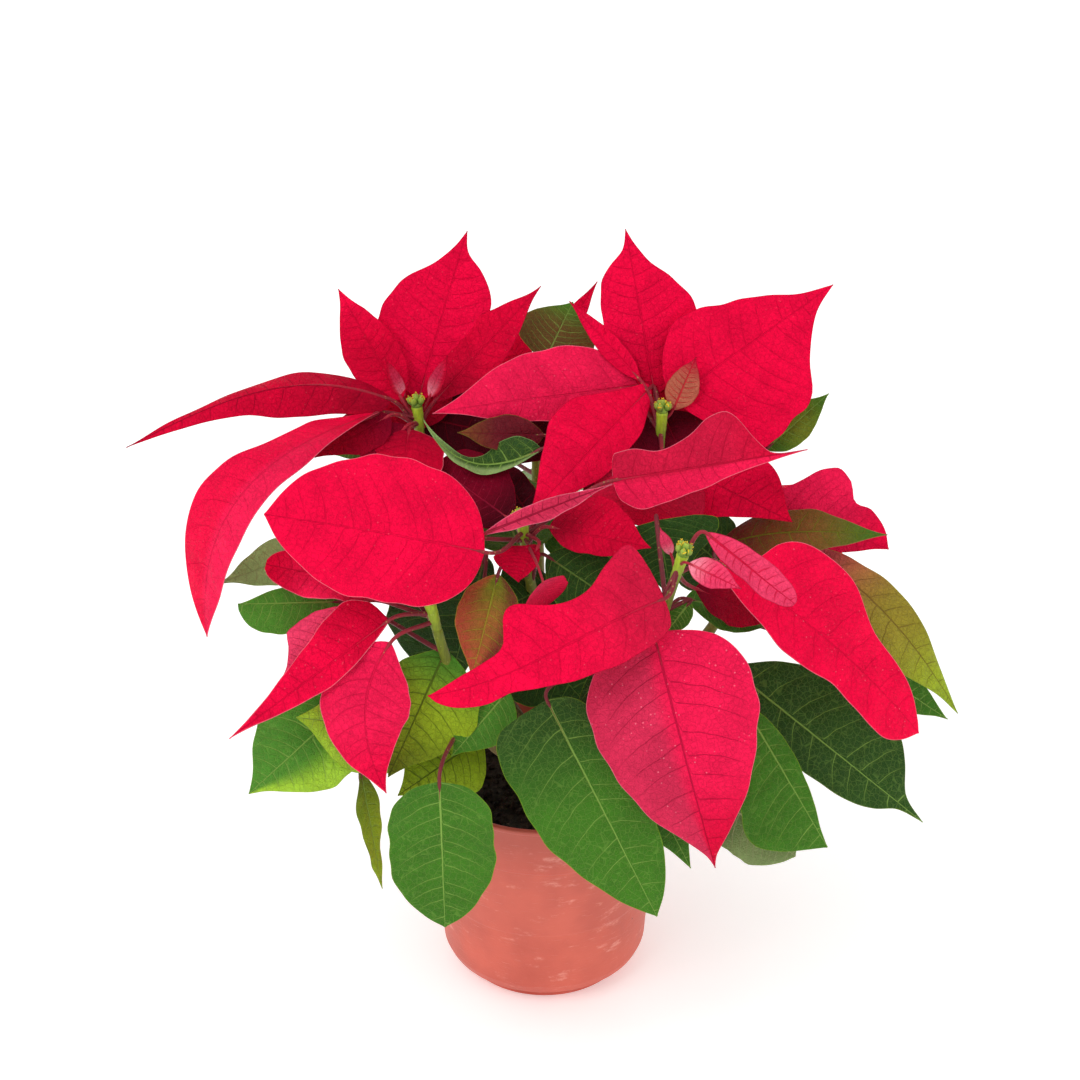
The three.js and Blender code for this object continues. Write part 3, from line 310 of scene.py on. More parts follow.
LEAF_ROWS = """
A L1 .7  -106 -10 263  -164 -26 247  0 -.5 .9  28
A L26 .9  -84 44 294  -110 38 288  0 -.4 .9  20
A K10 .88  -68 62 284  -76 120 279  0 -.2 1  46
B L20 .8  116 50 285  149 62 312  0 -.9 .4  20
C L17 .85  -23 -45 263  -36 -73 220  0 -.9 .5  31
C L18 .8  1 -26 263  48 -40 234  0 -.7 .7  36
C L21 .95  -2 10 305  -61 14 319  0 -.2 1  6/12  fold=-10/30 outline=lance/scoop arch=-18/-20 bow=-6/-10
C L22 .97  0 30 303  -44 12 313  0 -.8 .6  20
C K14 .45  -12 -5 207  22 -26 175  0 -.8 .6  56
C K11 .8  -12 6 246  -32 90 262  0 -.2 1  60
C K12 .7  16 4 238  32 64 256  0 -.2 1  46
C K16 .5  5 -10 238  -24 -34 236  0 -.8 .6  44
D L2 .9  -102 -33 240.5  -151 -53 250.5  0 -.7 .7  16/9  outline=blunt/ovate
D L3 .6  -99 -50 192  -147 -88 162  0 -.7 .7  56
D L4 .65  -62 -54 177  -122 -82 203  0 -.8 .5  50
D L5 .85  -49 -56 226  -77 -94 176  .1 -.9 .5  29/21
D L6 .7  -18 -60 205  -46 -86 183  0 -.8 .6  30
D L7 .55  -32 -60 177  -73 -88 161  0 -.8 .6  42
D L8 .6  -51 -112 185  -49 -130 112  0 -1 .2  52  outline=oval
D L9 .5  -93 -62 158  -84 -72 92  1 -.4 0  22
D K17 .6  -30 -25 262  -50 -25 184  0 -.8 .6  10/42  outline=oval
E L10 .75  1 -84 214  55 -128 117  0 -.9 .4  23/35  outline=oval/heart
E L11 .8  23 -66 219  73 -98 124  0 -.9 .4  50
E L13 .7  99 -62 199  142 -90 131  0 -.8 .6  9/32  outline=ovate/full
E L14 .5  92 -50 132  127 -84 121  0 -.8 .6  17/19  outline=oval
E L23 .9  71 -60 256  57 -76 245  0 -.8 .6  12  small=1
E L25 .85  70 -46 250  120 -30 227  0 -.5 .8  26
E L27 .92  56 -23 281  64 -29 240  0 -.8 .6  60  outline=wedge
F L12 .6  95.5 -34 201.5  196 -54 121  .2 -.8 .6  33/18  outline=squared
F L15 .85  131 14 247.5  211 -42 180  .5 -.6 .6  16/27  arch=20/16
F L16 .8  90 12 248  175 0 261  0 -.4 .9  30  arch=14/6
F K15 .75  98 24 226  62 20 262  0 -.7 .7  46
F L24 .7  163 -16 196  210 -24 165  .2 -.8 .6  22
F K8 .65  120 70 215  130 110 180  0 .3 1  40
G L19 .95  0 76 324  15 98 349  0 -1 .4  44
G K1 .8  -25 130 240  -60 175 200  -.2 .3 1  50
G K2 .75  5 130 235  20 190 190  0 .3 1  52
G K3 .7  40 115 225  90 150 190  .2 .3 1  48
G K4 .65  -50 90 215  -120 120 210  -.1 .2 1  50
G K5 .55  -20 100 175  -40 140 140  0 .4 1  40
"""


def read_blades(table):
    """The blades of each branch."""
    branches = {key: [] for key in STEMS}
    for (key, name, *numbers, width), named in read_rows(table):
        base, tip, looks = np.reshape(numbers[-9:], (3, 3))
        branches[key].append({
            "name": name, "node": numbers[0], "base": base, "tip": tip, "looks": looks,
            "width": width, **named,
        })
    return branches


BRACTS, LEAVES = read_blades(BRACT_ROWS), read_blades(LEAF_ROWS)

# How each blade is coloured: base, middle and tip of the upper face, the last of which holds on
# to the tip, then left and right, which tint one half, outer_left and outer_right, its outer
# part, under, the lower face, vein and strength, rim, and specks, how many pale dots of painted
# glint there are.
# E1's dusk right half is a painted reflection: the pale sheen that the bright surroundings would lay on
# that half of the bract.
# L21's pale sage outer left and mint rim paint the highlight along its bent, edge-on strip.
PAINT_ROWS = """
A1  strength=.26
A2  crimson crimson scarlet
A3  garnet crimson
A4  garnet crimson  vein=wine strength=.6
A5  crimson cherry  right=scarlet rim=blush
A6  garnet crimson  rim=blush
A7  wine garnet
A8  wine wine garnet
A9  shadow
A10  garnet crimson scarlet  strength=.1 rim=crimson
a1  blush dusk crimson  outer_left=crimson vein=crimson
a2  blush dusk crimson  outer_right=crimson vein=crimson
b1  tan tan ruby  vein=crimson strength=.8
B1  crimson scarlet  strength=.3
B3  cherry  strength=.14 specks=.4 rim=blush
B4  strength=.2
B5  ruby ruby crimson  right=cherry strength=.4 rim=blush
B6  crimson scarlet crimson  vein=wine strength=.35
B8  shadow wine
B9  shadow wine garnet
B10  garnet crimson scarlet  strength=.1 rim=crimson
B11  garnet ruby crimson
C1  strength=.22 specks=.3 rim=blush
C3  rose dusk  vein=wine strength=.7 rim=blush
C4  garnet crimson
C5  garnet crimson
C6  dusk ruby garnet
C7  shadow wine  vein=dusk
C8  shadow shadow wine
D1  crimson scarlet  specks=.3 strength=.3 rim=blush
D3  dusk cherry crimson  strength=.5 rim=blush
D4  rose  strength=.6
D2  cherry cherry scarlet  strength=.3 rim=blush
E1  cherry cherry crimson  right=dusk vein=wine strength=.5 specks=1 rim=blush
E2  ruby scarlet  specks=.3
E3  specks=.6 rim=blush
e1  blush rose  vein=dusk
e2  blush rose  vein=crimson strength=.7
E4  cherry cherry scarlet  strength=.14
e3  rose  vein=crimson strength=.8
E5  wine garnet
L1  mint  under=mint vein=sage
L2  grass
L3  leaf grass  outer_left=citron
L4  citron  outer_left=citron
L5  grass lime olive  vein=dark_vein
L6  grass grass leaf
L7  lime  vein=dark_vein
L9  olive lime
L10  deep leaf
L11  deep deep leaf
L12  deep
L14  blue_green sage  vein=ivory
L15  dusk amber lime  vein=umber strength=.6
L16  maroon brown leaf  vein=olive rim=tan
L17  olive copper rust  outer_left=maroon outer_right=rust vein=lime strength=.35
L18  deep  strength=.4
L19  umber umber leaf  strength=.5
L20  leaf olive leaf  strength=.4
L21  deep deep sage  outer_left=sage rim=mint
L22  maroon maroon brown  vein=wine strength=.5 rim=olive
L27  deep  strength=.3
K14  deep  strength=.3
K15  deep  strength=.4
K16  deep  strength=.3
K17  deep  strength=.3
"""
STOPS = ("base", "mid", "tip")
PAINT = {
    name: {**dict(zip(STOPS, hues + hues[-1:] * 2)), **named}
    for (name, *hues), named in read_rows(PAINT_ROWS)
}
BRACT_PAINT = {
    **dict.fromkeys(STOPS, "scarlet"), "under": "dusk", "vein": "garnet", "strength": 0.24,
    "rim": "garnet", "specks": 0.15,
}
LEAF_PAINT = {
    **dict.fromkeys(STOPS, "leaf"), "under": "sage", "vein": "pale_vein", "strength": 0.75,
    "rim": "lime", "specks": 0.0,
}

# ---- vectors and curves


def unit(vector):
    return vector / np.maximum(np.linalg.norm(vector, axis=-1, keepdims=True), 1e-9)


def pair(value):
    return value if isinstance(value, tuple) else (value, value)


def smooth(value):
    """0 to 1 with level ends."""
    value = np.clip(value, 0, 1)
    return value * value * (3 - 2 * value)


def around(count):
    """The angles of count points round a circle."""
    return np.arange(count) / count * 2 * math.pi


def columns(*fields):
    """Fields over one grid as the columns of a table of its points."""
    return np.stack(np.broadcast_arrays(*fields), axis=-1).reshape(-1, len(fields))


def share_at(table, places):
    """A smooth curve through the table's points."""
    xs, ys = table
    ahead = np.r_[xs[1:], xs[-1]] - np.r_[xs[0], xs[:-1]]
    slopes = (np.r_[ys[1:], ys[-1]] - np.r_[ys[0], ys[:-1]]) / ahead
    i = np.clip(np.searchsorted(xs, places, side="right") - 1, 0, len(xs) - 2)
    h = xs[i + 1] - xs[i]
    t = (places - xs[i]) / h
    m0, m1 = h * slopes[i], h * slopes[i + 1]
    cubic = 2 * ys[i] - 2 * ys[i + 1] + m0 + m1
    square = 3 * ys[i + 1] - 3 * ys[i] - 2 * m0 - m1
    return cubic * t**3 + square * t**2 + m0 * t + ys[i]


def bezier(points, t):
    """Places and unit tangents along a cubic curve."""
    a, b, c, d = (np.array(p, float) for p in points)
    t = np.asarray(t, float)[..., None]
    place = a * (1 - t) ** 3 + b * 3 * t * (1 - t) ** 2 + c * 3 * t**2 * (1 - t) + d * t**3
    tangent = (b - a) * (1 - t) ** 2 + (c - b) * 2 * t * (1 - t) + (d - c) * t**2
    return place, unit(tangent)


# ---- meshes


def placed(name, data):
    """A new object in the scene."""
    thing = bpy.data.objects.new(name, data)
    bpy.context.scene.collection.objects.link(thing)
    return thing


class Skin:
    """Gathers closed shapes with their point attributes and makes one object of them."""

    def __init__(self):
        self.points, self.faces, self.traits, self.count = [], [], {}, 0

    def add(self, points, faces, **traits):
        self.points.append(points)
        self.faces.extend([i + self.count for i in face] for face in faces)
        for name, values in traits.items():
            self.traits.setdefault(name, []).append(values)
        self.count += len(points)

    def mesh(self, name):
        mesh = bpy.data.meshes.new(name)
        mesh.from_pydata((np.concatenate(self.points) * MM).tolist(), [], self.faces)
        return mesh

    def make(self, name, material, slot, replaced, sharp=60):
        mesh = self.mesh(name)
        for trait, values in self.traits.items():
            table = np.concatenate(values).astype(np.float32)
            tinted = table.shape[1] == 4
            layer = mesh.attributes.new(trait, "FLOAT_COLOR" if tinted else "FLOAT_VECTOR", "POINT")
            layer.data.foreach_set("color" if tinted else "vector", table.ravel())
        mesh.shade_smooth()
        mesh.set_sharp_from_angle(angle=math.radians(sharp))
        mesh.materials.append(material)
        piece = placed(name, mesh)
        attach(piece, "root")
        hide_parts(replaced)
        return piece


def ring_quads(rows, sides):
    """Quads between rings of points."""
    rings = np.arange(rows * sides).reshape(rows, sides)
    low, high = rings[:-1], rings[1:]
    return columns(low, np.roll(low, -1, axis=1), np.roll(high, -1, axis=1), high).tolist()


def sweep(path, radii, sides, ripple=None):
    """A round solid along a path, with flat ends. Returns its points, its faces and each point's
    share of the way along."""
    tangents = unit(np.gradient(path, axis=0))
    side = np.cross(tangents[0], (0.31, 0.17, 0.93))
    normals = []
    for tangent in tangents:
        side = unit(side - tangent * (side @ tangent))
        normals.append(side)
    normals = np.array(normals)
    across = np.cross(tangents, normals)
    angles = around(sides)
    reach = radii[:, None] * np.ones(sides)
    if ripple is not None:
        reach = reach * ripple(np.linspace(0, 1, len(path))[:, None], angles[None, :])
    spokes = np.cos(angles)[:, None] * normals[:, None] + np.sin(angles)[:, None] * across[:, None]
    points = path[:, None] + reach[..., None] * spokes
    last = (len(path) - 1) * sides
    ends = [list(range(sides - 1, -1, -1)), list(range(last, last + sides))]
    shares = np.repeat(np.linspace(0, 1, len(path)), sides)
    return points.reshape(-1, 3), ring_quads(len(path), sides) + ends, shares


def rounded_ends(path, radii, reach=0.6):
    """The path and radii with a small dome at each end."""
    start, end = unit(path[0] - path[1]), unit(path[-1] - path[-2])
    head = [path[0] + start * radii[0] * reach * k for k in (1, 0.7)]
    tail = [path[-1] + end * radii[-1] * reach * k for k in (0.7, 1)]
    grown = np.concatenate([head, path, tail])
    return grown, np.r_[radii[0] * 0.15, radii[0] * 0.72, radii, radii[-1] * 0.72, radii[-1] * 0.15]


def with_alpha(colours, alpha):
    colours = np.reshape(colours, (-1, 3))
    return np.c_[colours, np.full(len(colours), alpha)]


def blend_colours(first, second, share):
    share = share[:, None]
    return with_alpha(PALETTE[first] * (1 - share) + PALETTE[second] * share, 1)


# ---- blades


def normals_of(points):
    return unit(np.cross(np.gradient(points, axis=1), np.gradient(points, axis=0)))


class Blade:
    """A leaf blade: a rib, and a surface spread on either side of it."""

    def __init__(self, spec, default):
        self.spec, self.paint = spec, {**default, **PAINT.get(spec["name"], {})}
        self.draw = random.Random(spec["name"])
        base, tip, width = spec["base"], spec["tip"], spec["width"]
        self.widths = width if isinstance(width, tuple) else (width / 2, width / 2)
        chord = tip - base
        forward, face = unit(chord), unit(spec["looks"])
        self.face = unit(face - forward * (face @ forward))
        right = np.cross(forward, self.face)
        lifts, bends = pair(spec.get("arch", 0)), pair(spec.get("bow", 0))
        first, second = (
            base + chord * share / 3 + self.face * lift + right * bend
            for share, lift, bend in zip((1, 2), lifts, bends)
        )
        self.rib = (base, first, second, tip)
        steps = bezier(self.rib, np.linspace(0, 1, 40))[0]
        self.length = np.linalg.norm(np.diff(steps, axis=0), axis=1).sum()
        self.lay_grid(math.dist(base, tip))
        self.spread()
        self.relieve()

    def lay_grid(self, length):
        """Places along and across: more of both on a larger blade, closer at the ends."""
        rows = int(np.clip(length / ROW_LENGTH, FEWEST_ROWS, MOST_ROWS))
        cells = 2 * int(np.clip(sum(self.widths) / CELL_WIDTH, FEWEST_CELLS, MOST_CELLS))
        u, q = np.linspace(0, 1, rows + 1), np.linspace(-1, 1, cells + 1)
        s = 0.45 * u + 0.55 * (0.5 - 0.5 * np.cos(math.pi * u))
        q = np.sign(q) * np.abs(q) ** 1.12
        self.s, self.q, self.right = s[:, None], q[None, :], q[None, :] >= 0

    def either(self, values):
        """The second value on the right half, and the first on the left."""
        return np.where(self.right, values[1], values[0])

    def spread(self):
        """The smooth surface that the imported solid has."""
        spec, s, q = self.spec, self.s, self.q
        centre, forward = bezier(self.rib, s[:, 0])
        face = unit(self.face - forward * (forward @ self.face)[:, None])
        right = np.cross(forward, face)
        outlines = pair(spec.get("outline", "ovate"))
        reach = [width * share_at(OUTLINES[name], s) for width, name in zip(self.widths, outlines)]
        rounding = np.sqrt(1 - (1 - np.clip(s / ROUNDED_BASE, 0, 1)) ** 2)
        margins = [1 + UNEVEN * self.wandering() for _ in reach]
        reach = [r * np.maximum(rounding, 0.2) * m for r, m in zip(reach, margins)]
        self.reach = self.either(np.maximum(reach, NARROWEST))
        self.half = self.either(self.widths)
        self.out = np.abs(q) * self.reach
        fold, curl = pair(spec.get("fold", 0)), pair(spec.get("curl", 0))
        angle = np.radians(self.either(fold) + self.either(curl) * np.abs(q) * 0.5)
        ripple = np.sin((s * RIPPLES + self.right * 0.3) * TURN)
        lift = self.out * np.sin(angle) + spec.get("wave", 0) * ripple * q * q * np.sin(math.pi * s)
        sideways = np.sign(q) * self.out * np.cos(angle)
        aside = right[:, None] * sideways[..., None]
        self.points = centre[:, None] + aside + face[:, None] * lift[..., None]

    def wandering(self):
        """How one margin wanders, as a share of its greatest."""
        first, second = (self.draw.uniform(0, TURN) for _ in range(2))
        waves = np.sin(self.s * 15 + first) + 0.6 * np.sin(self.s * 37 + second)
        return np.sin(math.pi * self.s) ** 0.5 * waves

    def relieve(self):
        """Adds the rib's gutter, the quilting between the side veins and a slight sway."""
        s, q, draw, out = self.s, self.q, self.draw.uniform, self.out
        self.along, self.gap = s * self.length, self.length / VEINS_PER_SIDE
        lean = VEIN_LEAN * out + VEIN_CURVE * out**2 / self.half
        step = (self.along - lean) / self.gap + self.either((0, 0.45))
        step_now = step + 0.12 * np.sin(step * 1.9 + draw(0, 6))
        self.step = step_now + 0.07 * np.sin(step * 4.1 + draw(0, 6))
        gutter = -GUTTER_DEPTH * np.exp(-((out / GUTTER_WIDTH) ** 2)) * (1 - s) ** 0.5
        quilt = QUILT_DEPTH * (np.abs(np.sin(math.pi * self.step)) ** 0.8 - 0.6)
        quilt = quilt * smooth(out / 6) * (1 - q**4) * smooth(s * 8) * smooth((1 - s) * 5)
        right, left, fine_right, fine_left = (draw(0, 6.28) for _ in range(4))
        sway = np.sin(s * 9 + self.either((left, right)))
        sway = sway + 0.5 * np.sin(s * 23 + self.either((fine_left, fine_right)))
        sway = SWAY * sway * np.abs(q) ** 2.5 * np.sin(math.pi * s) ** 0.7
        lift = (gutter + quilt + sway) * min(1.0, self.length / 60)
        self.points = self.points + normals_of(self.points) * lift[..., None]
        self.normals = normals_of(self.points)

    def tone(self, under):
        """The colour over one face."""
        paint, s, q = self.paint, self.s, self.q
        stops = [PALETTE[paint[stop]] for stop in STOPS]
        if under:
            stops = [stop * 0.35 + PALETTE[paint["under"]] * 0.65 for stop in stops]
        first, second = smooth(s * 2)[..., None], smooth(s * 2 - 1)[..., None]
        tone = stops[0] * (1 - first) + stops[1] * (first - second) + stops[2] * second
        for name, sign in (("left", -1), ("right", 1)):
            inner, outer = 0.85 * smooth(sign * q * 4), 0.9 * smooth((sign * q - 0.2) / 0.6)
            for part, share in ((name, inner[..., None]), (f"outer_{name}", outer[..., None])):
                if part in paint and not under:
                    tone = tone * (1 - share) + PALETTE[paint[part]] * share
        tone = tone * (1 + 0.05 * self.draw.uniform(-1, 1))
        return np.broadcast_to(tone, (*self.out.shape, 3))

    def traits(self, under):
        """The point attributes of one face: its colours, and where on the blade a point is."""
        paint, s, q = self.paint, self.s, self.q
        tone = with_alpha(self.tone(under), 0 if under else paint["specks"])
        seed, upper = self.draw.uniform(0, 900), 0.0 if under else 1.0
        return {
            "tone": tone,
            "vein": np.tile([*PALETTE[paint["vein"]], paint["strength"]], (len(tone), 1)),
            "rim": np.tile([*PALETTE[paint["rim"]], 1], (len(tone), 1)),
            "flat": columns(np.sign(q) * self.out, self.along, seed),
            "grain": columns(self.step, self.gap, (1 - np.abs(q)) * self.reach),
            "part": columns(np.abs(q), s, upper),
        }

    def add_to(self, skin):
        """Adds the blade's two faces, joined by a narrow margin."""
        grid = np.arange(self.out.size).reshape(self.out.shape)
        cells = columns(grid[:-1, :-1], grid[:-1, 1:], grid[1:, 1:], grid[1:, :-1])
        edge = np.r_[grid[:-1, 0], grid[-1, :-1], grid[:0:-1, -1], grid[0, :0:-1]]
        ahead = np.roll(edge, -1)
        margin = columns(edge, ahead, ahead + grid.size, edge + grid.size)
        faces = np.concatenate([cells, cells[:, ::-1] + grid.size, margin]).tolist()
        thickness = BLADE_THICKNESS + (MARGIN_THICKNESS - BLADE_THICKNESS) * np.abs(self.q) ** 3
        half = self.normals * thickness[..., None] / 2
        points = np.concatenate([self.points + half, self.points - half]).reshape(-1, 3)
        above, below = self.traits(False), self.traits(True)
        both = {name: np.concatenate([above[name], below[name]]) for name in above}
        skin.add(points, faces, **both)


# ---- stalks and stems


def stalk(blade, root, radius):
    """A petiole from inside the stem that runs on under the blade as its raised rib."""
    middle, s = blade.q.size // 2, blade.s[:, 0]
    kept = s <= RIB_REACH
    rib, normals, shares = blade.points[kept, middle], blade.normals[kept, middle], s[kept]
    forward, start = unit(blade.rib[1] - blade.rib[0]), rib[0]
    bend = min(math.dist(start, root) / 3, PETIOLE_BEND)
    steps = np.linspace(0, 1, PETIOLE_STEPS)
    path, _ = bezier((root, root + (start - root) / 3, start - forward * bend, start), steps)
    thick = radius * (1 - 0.3 * steps)
    under = thick[-1] * (1 - shares) ** 0.9 + RIB_END_RADIUS
    sunk = rib - normals * (BLADE_THICKNESS / 2 + under * RIB_SUNK)[:, None]
    ease = smooth(np.arange(1, len(sunk)) / 5)[:, None]
    sunk = rib[1:] * (1 - ease) + sunk[1:] * ease
    return np.concatenate([path, sunk]), np.r_[thick, under[1:]]


def add_stalk(skin, blade, root, radius, colours):
    points, faces, shares = sweep(*rounded_ends(*stalk(blade, root, radius)), PETIOLE_SIDES)
    skin.add(points, faces, tone=blend_colours(*colours, smooth(shares * 1.6)))


def ridged(seed):
    """Slight ridges down a stem and swellings round it."""
    draw = random.Random(seed)
    phases = [draw.uniform(0, 6.28) for _ in range(3)]

    def ripple(shares, angles):
        ridges = 0.025 * np.sin(angles * 5 + phases[0])
        ridges = ridges + 0.02 * np.sin(angles * 3 + shares * 9 + phases[1])
        return 1 + ridges + 0.03 * np.sin(shares * 31 + phases[2])

    return ripple


def add_stem(skin, path, radii, seed, tones):
    path, radii = rounded_ends(path, radii, 0.35)
    points, faces, shares = sweep(path, radii, STEM_SIDES, ridged(seed))
    skin.add(points, faces, tone=blend_colours(*tones, smooth(shares)))


def stem_part(key, start, end, steps=STEM_STEPS):
    """The path and radii of a part of a branch's stem."""
    shares = start + (end - start) * np.linspace(0, 1, steps)
    radii = BRANCH_RADIUS + (BRANCH_TIP_RADIUS - BRANCH_RADIUS) * shares
    return bezier(STEMS[key][0], shares)[0], radii


def straight(foot, up, length, first, last, steps=STEM_STEPS):
    """The path and radii of a straight stem."""
    shares = np.linspace(0, 1, steps)
    return foot + up * (length * shares)[:, None], first + (last - first) * shares


def collar_line(key):
    """Where a branch's collar starts, and its direction."""
    place, up = bezier(STEMS[key][0], 1.0)
    return place + up * CLEARANCE, up


# ---- flower buds

# Heights and radii of one small urn-shaped flower cup, of the knob that carries the cups, and
# the radii of a cup's stamens.
CUP = np.array([
    (0, 0.7), (0.6, 1.25), (1.6, 1.8), (2.8, 2.0), (3.9, 1.75), (4.7, 1.35), (5.1, 1.3), (5.3, 1.0),
]).T
CUP_SIDES, KNOB_SIDES, STAMEN_SIDES, GLAND_SIDES, GLAND_STEPS = 14, 16, 6, 8, 13
KNOB_HEIGHT = 2.0
KNOB_RADII = np.array([2.6, 2.9, 3.0, 2.8, 2.2])
STAMEN_RADII = np.array([0.16, 0.14, 0.14, 0.3, 0.1])
STAMEN_COUNT = 4
GLAND_RADIUS = 0.36


def add_cup(skin, foot, up, size, draw):
    """A cup with its lipped gland and its stamens."""

    def lobes(shares, angles):
        return 1 + 0.09 * np.sin(angles * 5 + 1) * shares

    heights, radii = CUP * size
    points, faces, shares = sweep(foot + up * heights[:, None], radii, CUP_SIDES, lobes)
    skin.add(points, faces, tone=blend_colours("leaf", "bud", smooth(shares * 1.3)))
    side = unit(np.cross(up, (draw.uniform(-1, 1), draw.uniform(-1, 1), 0.3)))
    lip = foot + up * 4.3 * size + side * 1.5 * size
    angles = np.linspace(0, TURN, GLAND_STEPS)[:, None]
    wide, tall = np.cross(up, side) * 1.0, up * 0.8 + side * 0.4
    loop = lip + wide * np.cos(angles) * size + tall * np.sin(angles) * 0.55 * size
    points, faces, shares = sweep(loop, np.full(GLAND_STEPS, GLAND_RADIUS * size), GLAND_SIDES)
    skin.add(points, faces, tone=blend_colours("gland", "gland", shares))
    for _ in range(STAMEN_COUNT):
        lean = unit(up + np.array([draw.uniform(-0.5, 0.5) for _ in range(3)]))
        path = foot + up * 4.8 * size + lean * (np.linspace(0, 1.7, 5) * size)[:, None]
        points, faces, shares = sweep(path, STAMEN_RADII * size, STAMEN_SIDES)
        skin.add(points, faces, tone=blend_colours("garnet", "gland", smooth(shares * 2 - 0.7)))


def add_buds(skin, key):
    foot, up = collar_line(key)
    draw = random.Random(f"buds {key}")
    top = foot + up * (COLLAR_LENGTH + CLEARANCE)
    side = unit(np.cross(up, (0, 1, 0.2)))
    across = np.cross(up, side)
    path = top + up * np.linspace(0, KNOB_HEIGHT, len(KNOB_RADII))[:, None]
    points, faces, shares = sweep(*rounded_ends(path, KNOB_RADII), KNOB_SIDES)
    skin.add(points, faces, tone=blend_colours("leaf", "bud", shares))
    for i in range(CUP_RING):
        angle = (i + draw.uniform(-0.15, 0.15)) / CUP_RING * TURN
        out = side * math.cos(angle) + across * math.sin(angle)
        size = draw.uniform(0.72, 0.92)
        add_cup(skin, top + up * 1.3 + out * CUP_REACH, unit(up + out * CUP_TILT), size, draw)
    add_cup(skin, top + up * KNOB_HEIGHT, up, 0.95, draw)

# ---- materials


class Wire:
    """An output of a node. A sum on it adds a node to the same tree."""

    def __init__(self, socket):
        self.socket = socket

    def node(self, kind, inputs, output=0, **settings):
        return add_node(self.socket.id_data, kind, inputs, output, **settings)

    def math(self, operation, *others):
        return self.node("ShaderNodeMath", dict(enumerate((self, *others))), operation=operation)

    def __add__(self, other):
        return self.math("ADD", other)

    def __sub__(self, other):
        return self.math("SUBTRACT", other)

    def __mul__(self, other):
        return self.math("MULTIPLY", other)

    def linear(self, factor, offset):
        return self.math("MULTIPLY_ADD", factor, offset)

    def most(self, *others):
        total = self
        for other in others:
            total = total.math("MAXIMUM", other)
        return total

    def between(self, first, second):
        """The first colour at 0 and the second at 1."""
        inputs = {0: self, 6: first, 7: second}
        return self.node("ShaderNodeMix", inputs, output=2, data_type="RGBA")

    def scaled(self, factor):
        """A colour made lighter or darker."""
        return self.node("ShaderNodeVectorMath", {0: self, 3: factor}, operation="SCALE")

    def fade(self, low, high, start=0, end=1):
        """start below low, end above high, and smooth between."""
        inputs = {0: self, 1: low, 2: high, 3: start, 4: end}
        return self.node("ShaderNodeMapRange", inputs, interpolation_type="SMOOTHSTEP")

    def split(self):
        first = self.node("ShaderNodeSeparateXYZ", {0: self})
        return [Wire(output) for output in first.socket.node.outputs]

    def stretched(self, *scale):
        return self.node("ShaderNodeMapping", {0: self, "Scale": scale})

    def noise(self, scale, detail=2, roughness=0.5):
        inputs = {"Vector": self, "Scale": scale, "Detail": detail, "Roughness": roughness}
        return self.node("ShaderNodeTexNoise", inputs)

    def cells(self, scale, feature="F1"):
        inputs = {"Vector": self, "Scale": scale}
        return self.node("ShaderNodeTexVoronoi", inputs, output="Distance", feature=feature)

    def cracks(self, scale):
        return self.cells(scale, "DISTANCE_TO_EDGE")


def set_input(socket, value):
    """Links a node's input, or sets it."""
    if isinstance(value, Wire):
        socket.id_data.links.new(value.socket, socket)
    elif socket.type == "RGBA" and len(value) == 3:
        socket.default_value = (*value, 1)
    else:
        socket.default_value = value


def add_node(tree, kind, inputs, output=0, **settings):
    node = tree.nodes.new(kind)
    for name, value in settings.items():
        setattr(node, name, value)
    for key, value in inputs.items():
        set_input(node.inputs[key], value)
    return Wire(node.outputs[output])


class Shade:
    """A material."""

    def __init__(self, name, **settings):
        self.material = bpy.data.materials.new(name)
        self.material.use_nodes = True
        self.tree = self.material.node_tree
        self.set(**settings)

    def set(self, **settings):
        """Links or sets the surface's inputs, with _ for the spaces in their names."""
        surface = self.tree.nodes["Principled BSDF"]
        for name, value in settings.items():
            set_input(surface.inputs[name.replace("_", " ")], value)

    def trait(self, name, output="Vector"):
        return add_node(self.tree, "ShaderNodeAttribute", {}, output, attribute_name=name)

    def place(self):
        return add_node(self.tree, "ShaderNodeTexCoord", {}, "Object")

    def finish(self, base, roughness, height, depth):
        """depth is the height of a full bump, in mm."""
        bump = height.node("ShaderNodeBump", {"Distance": depth * MM, "Height": height}, "Normal")
        self.set(Base_Color=base, Roughness=roughness, Normal=bump)
        return self.material


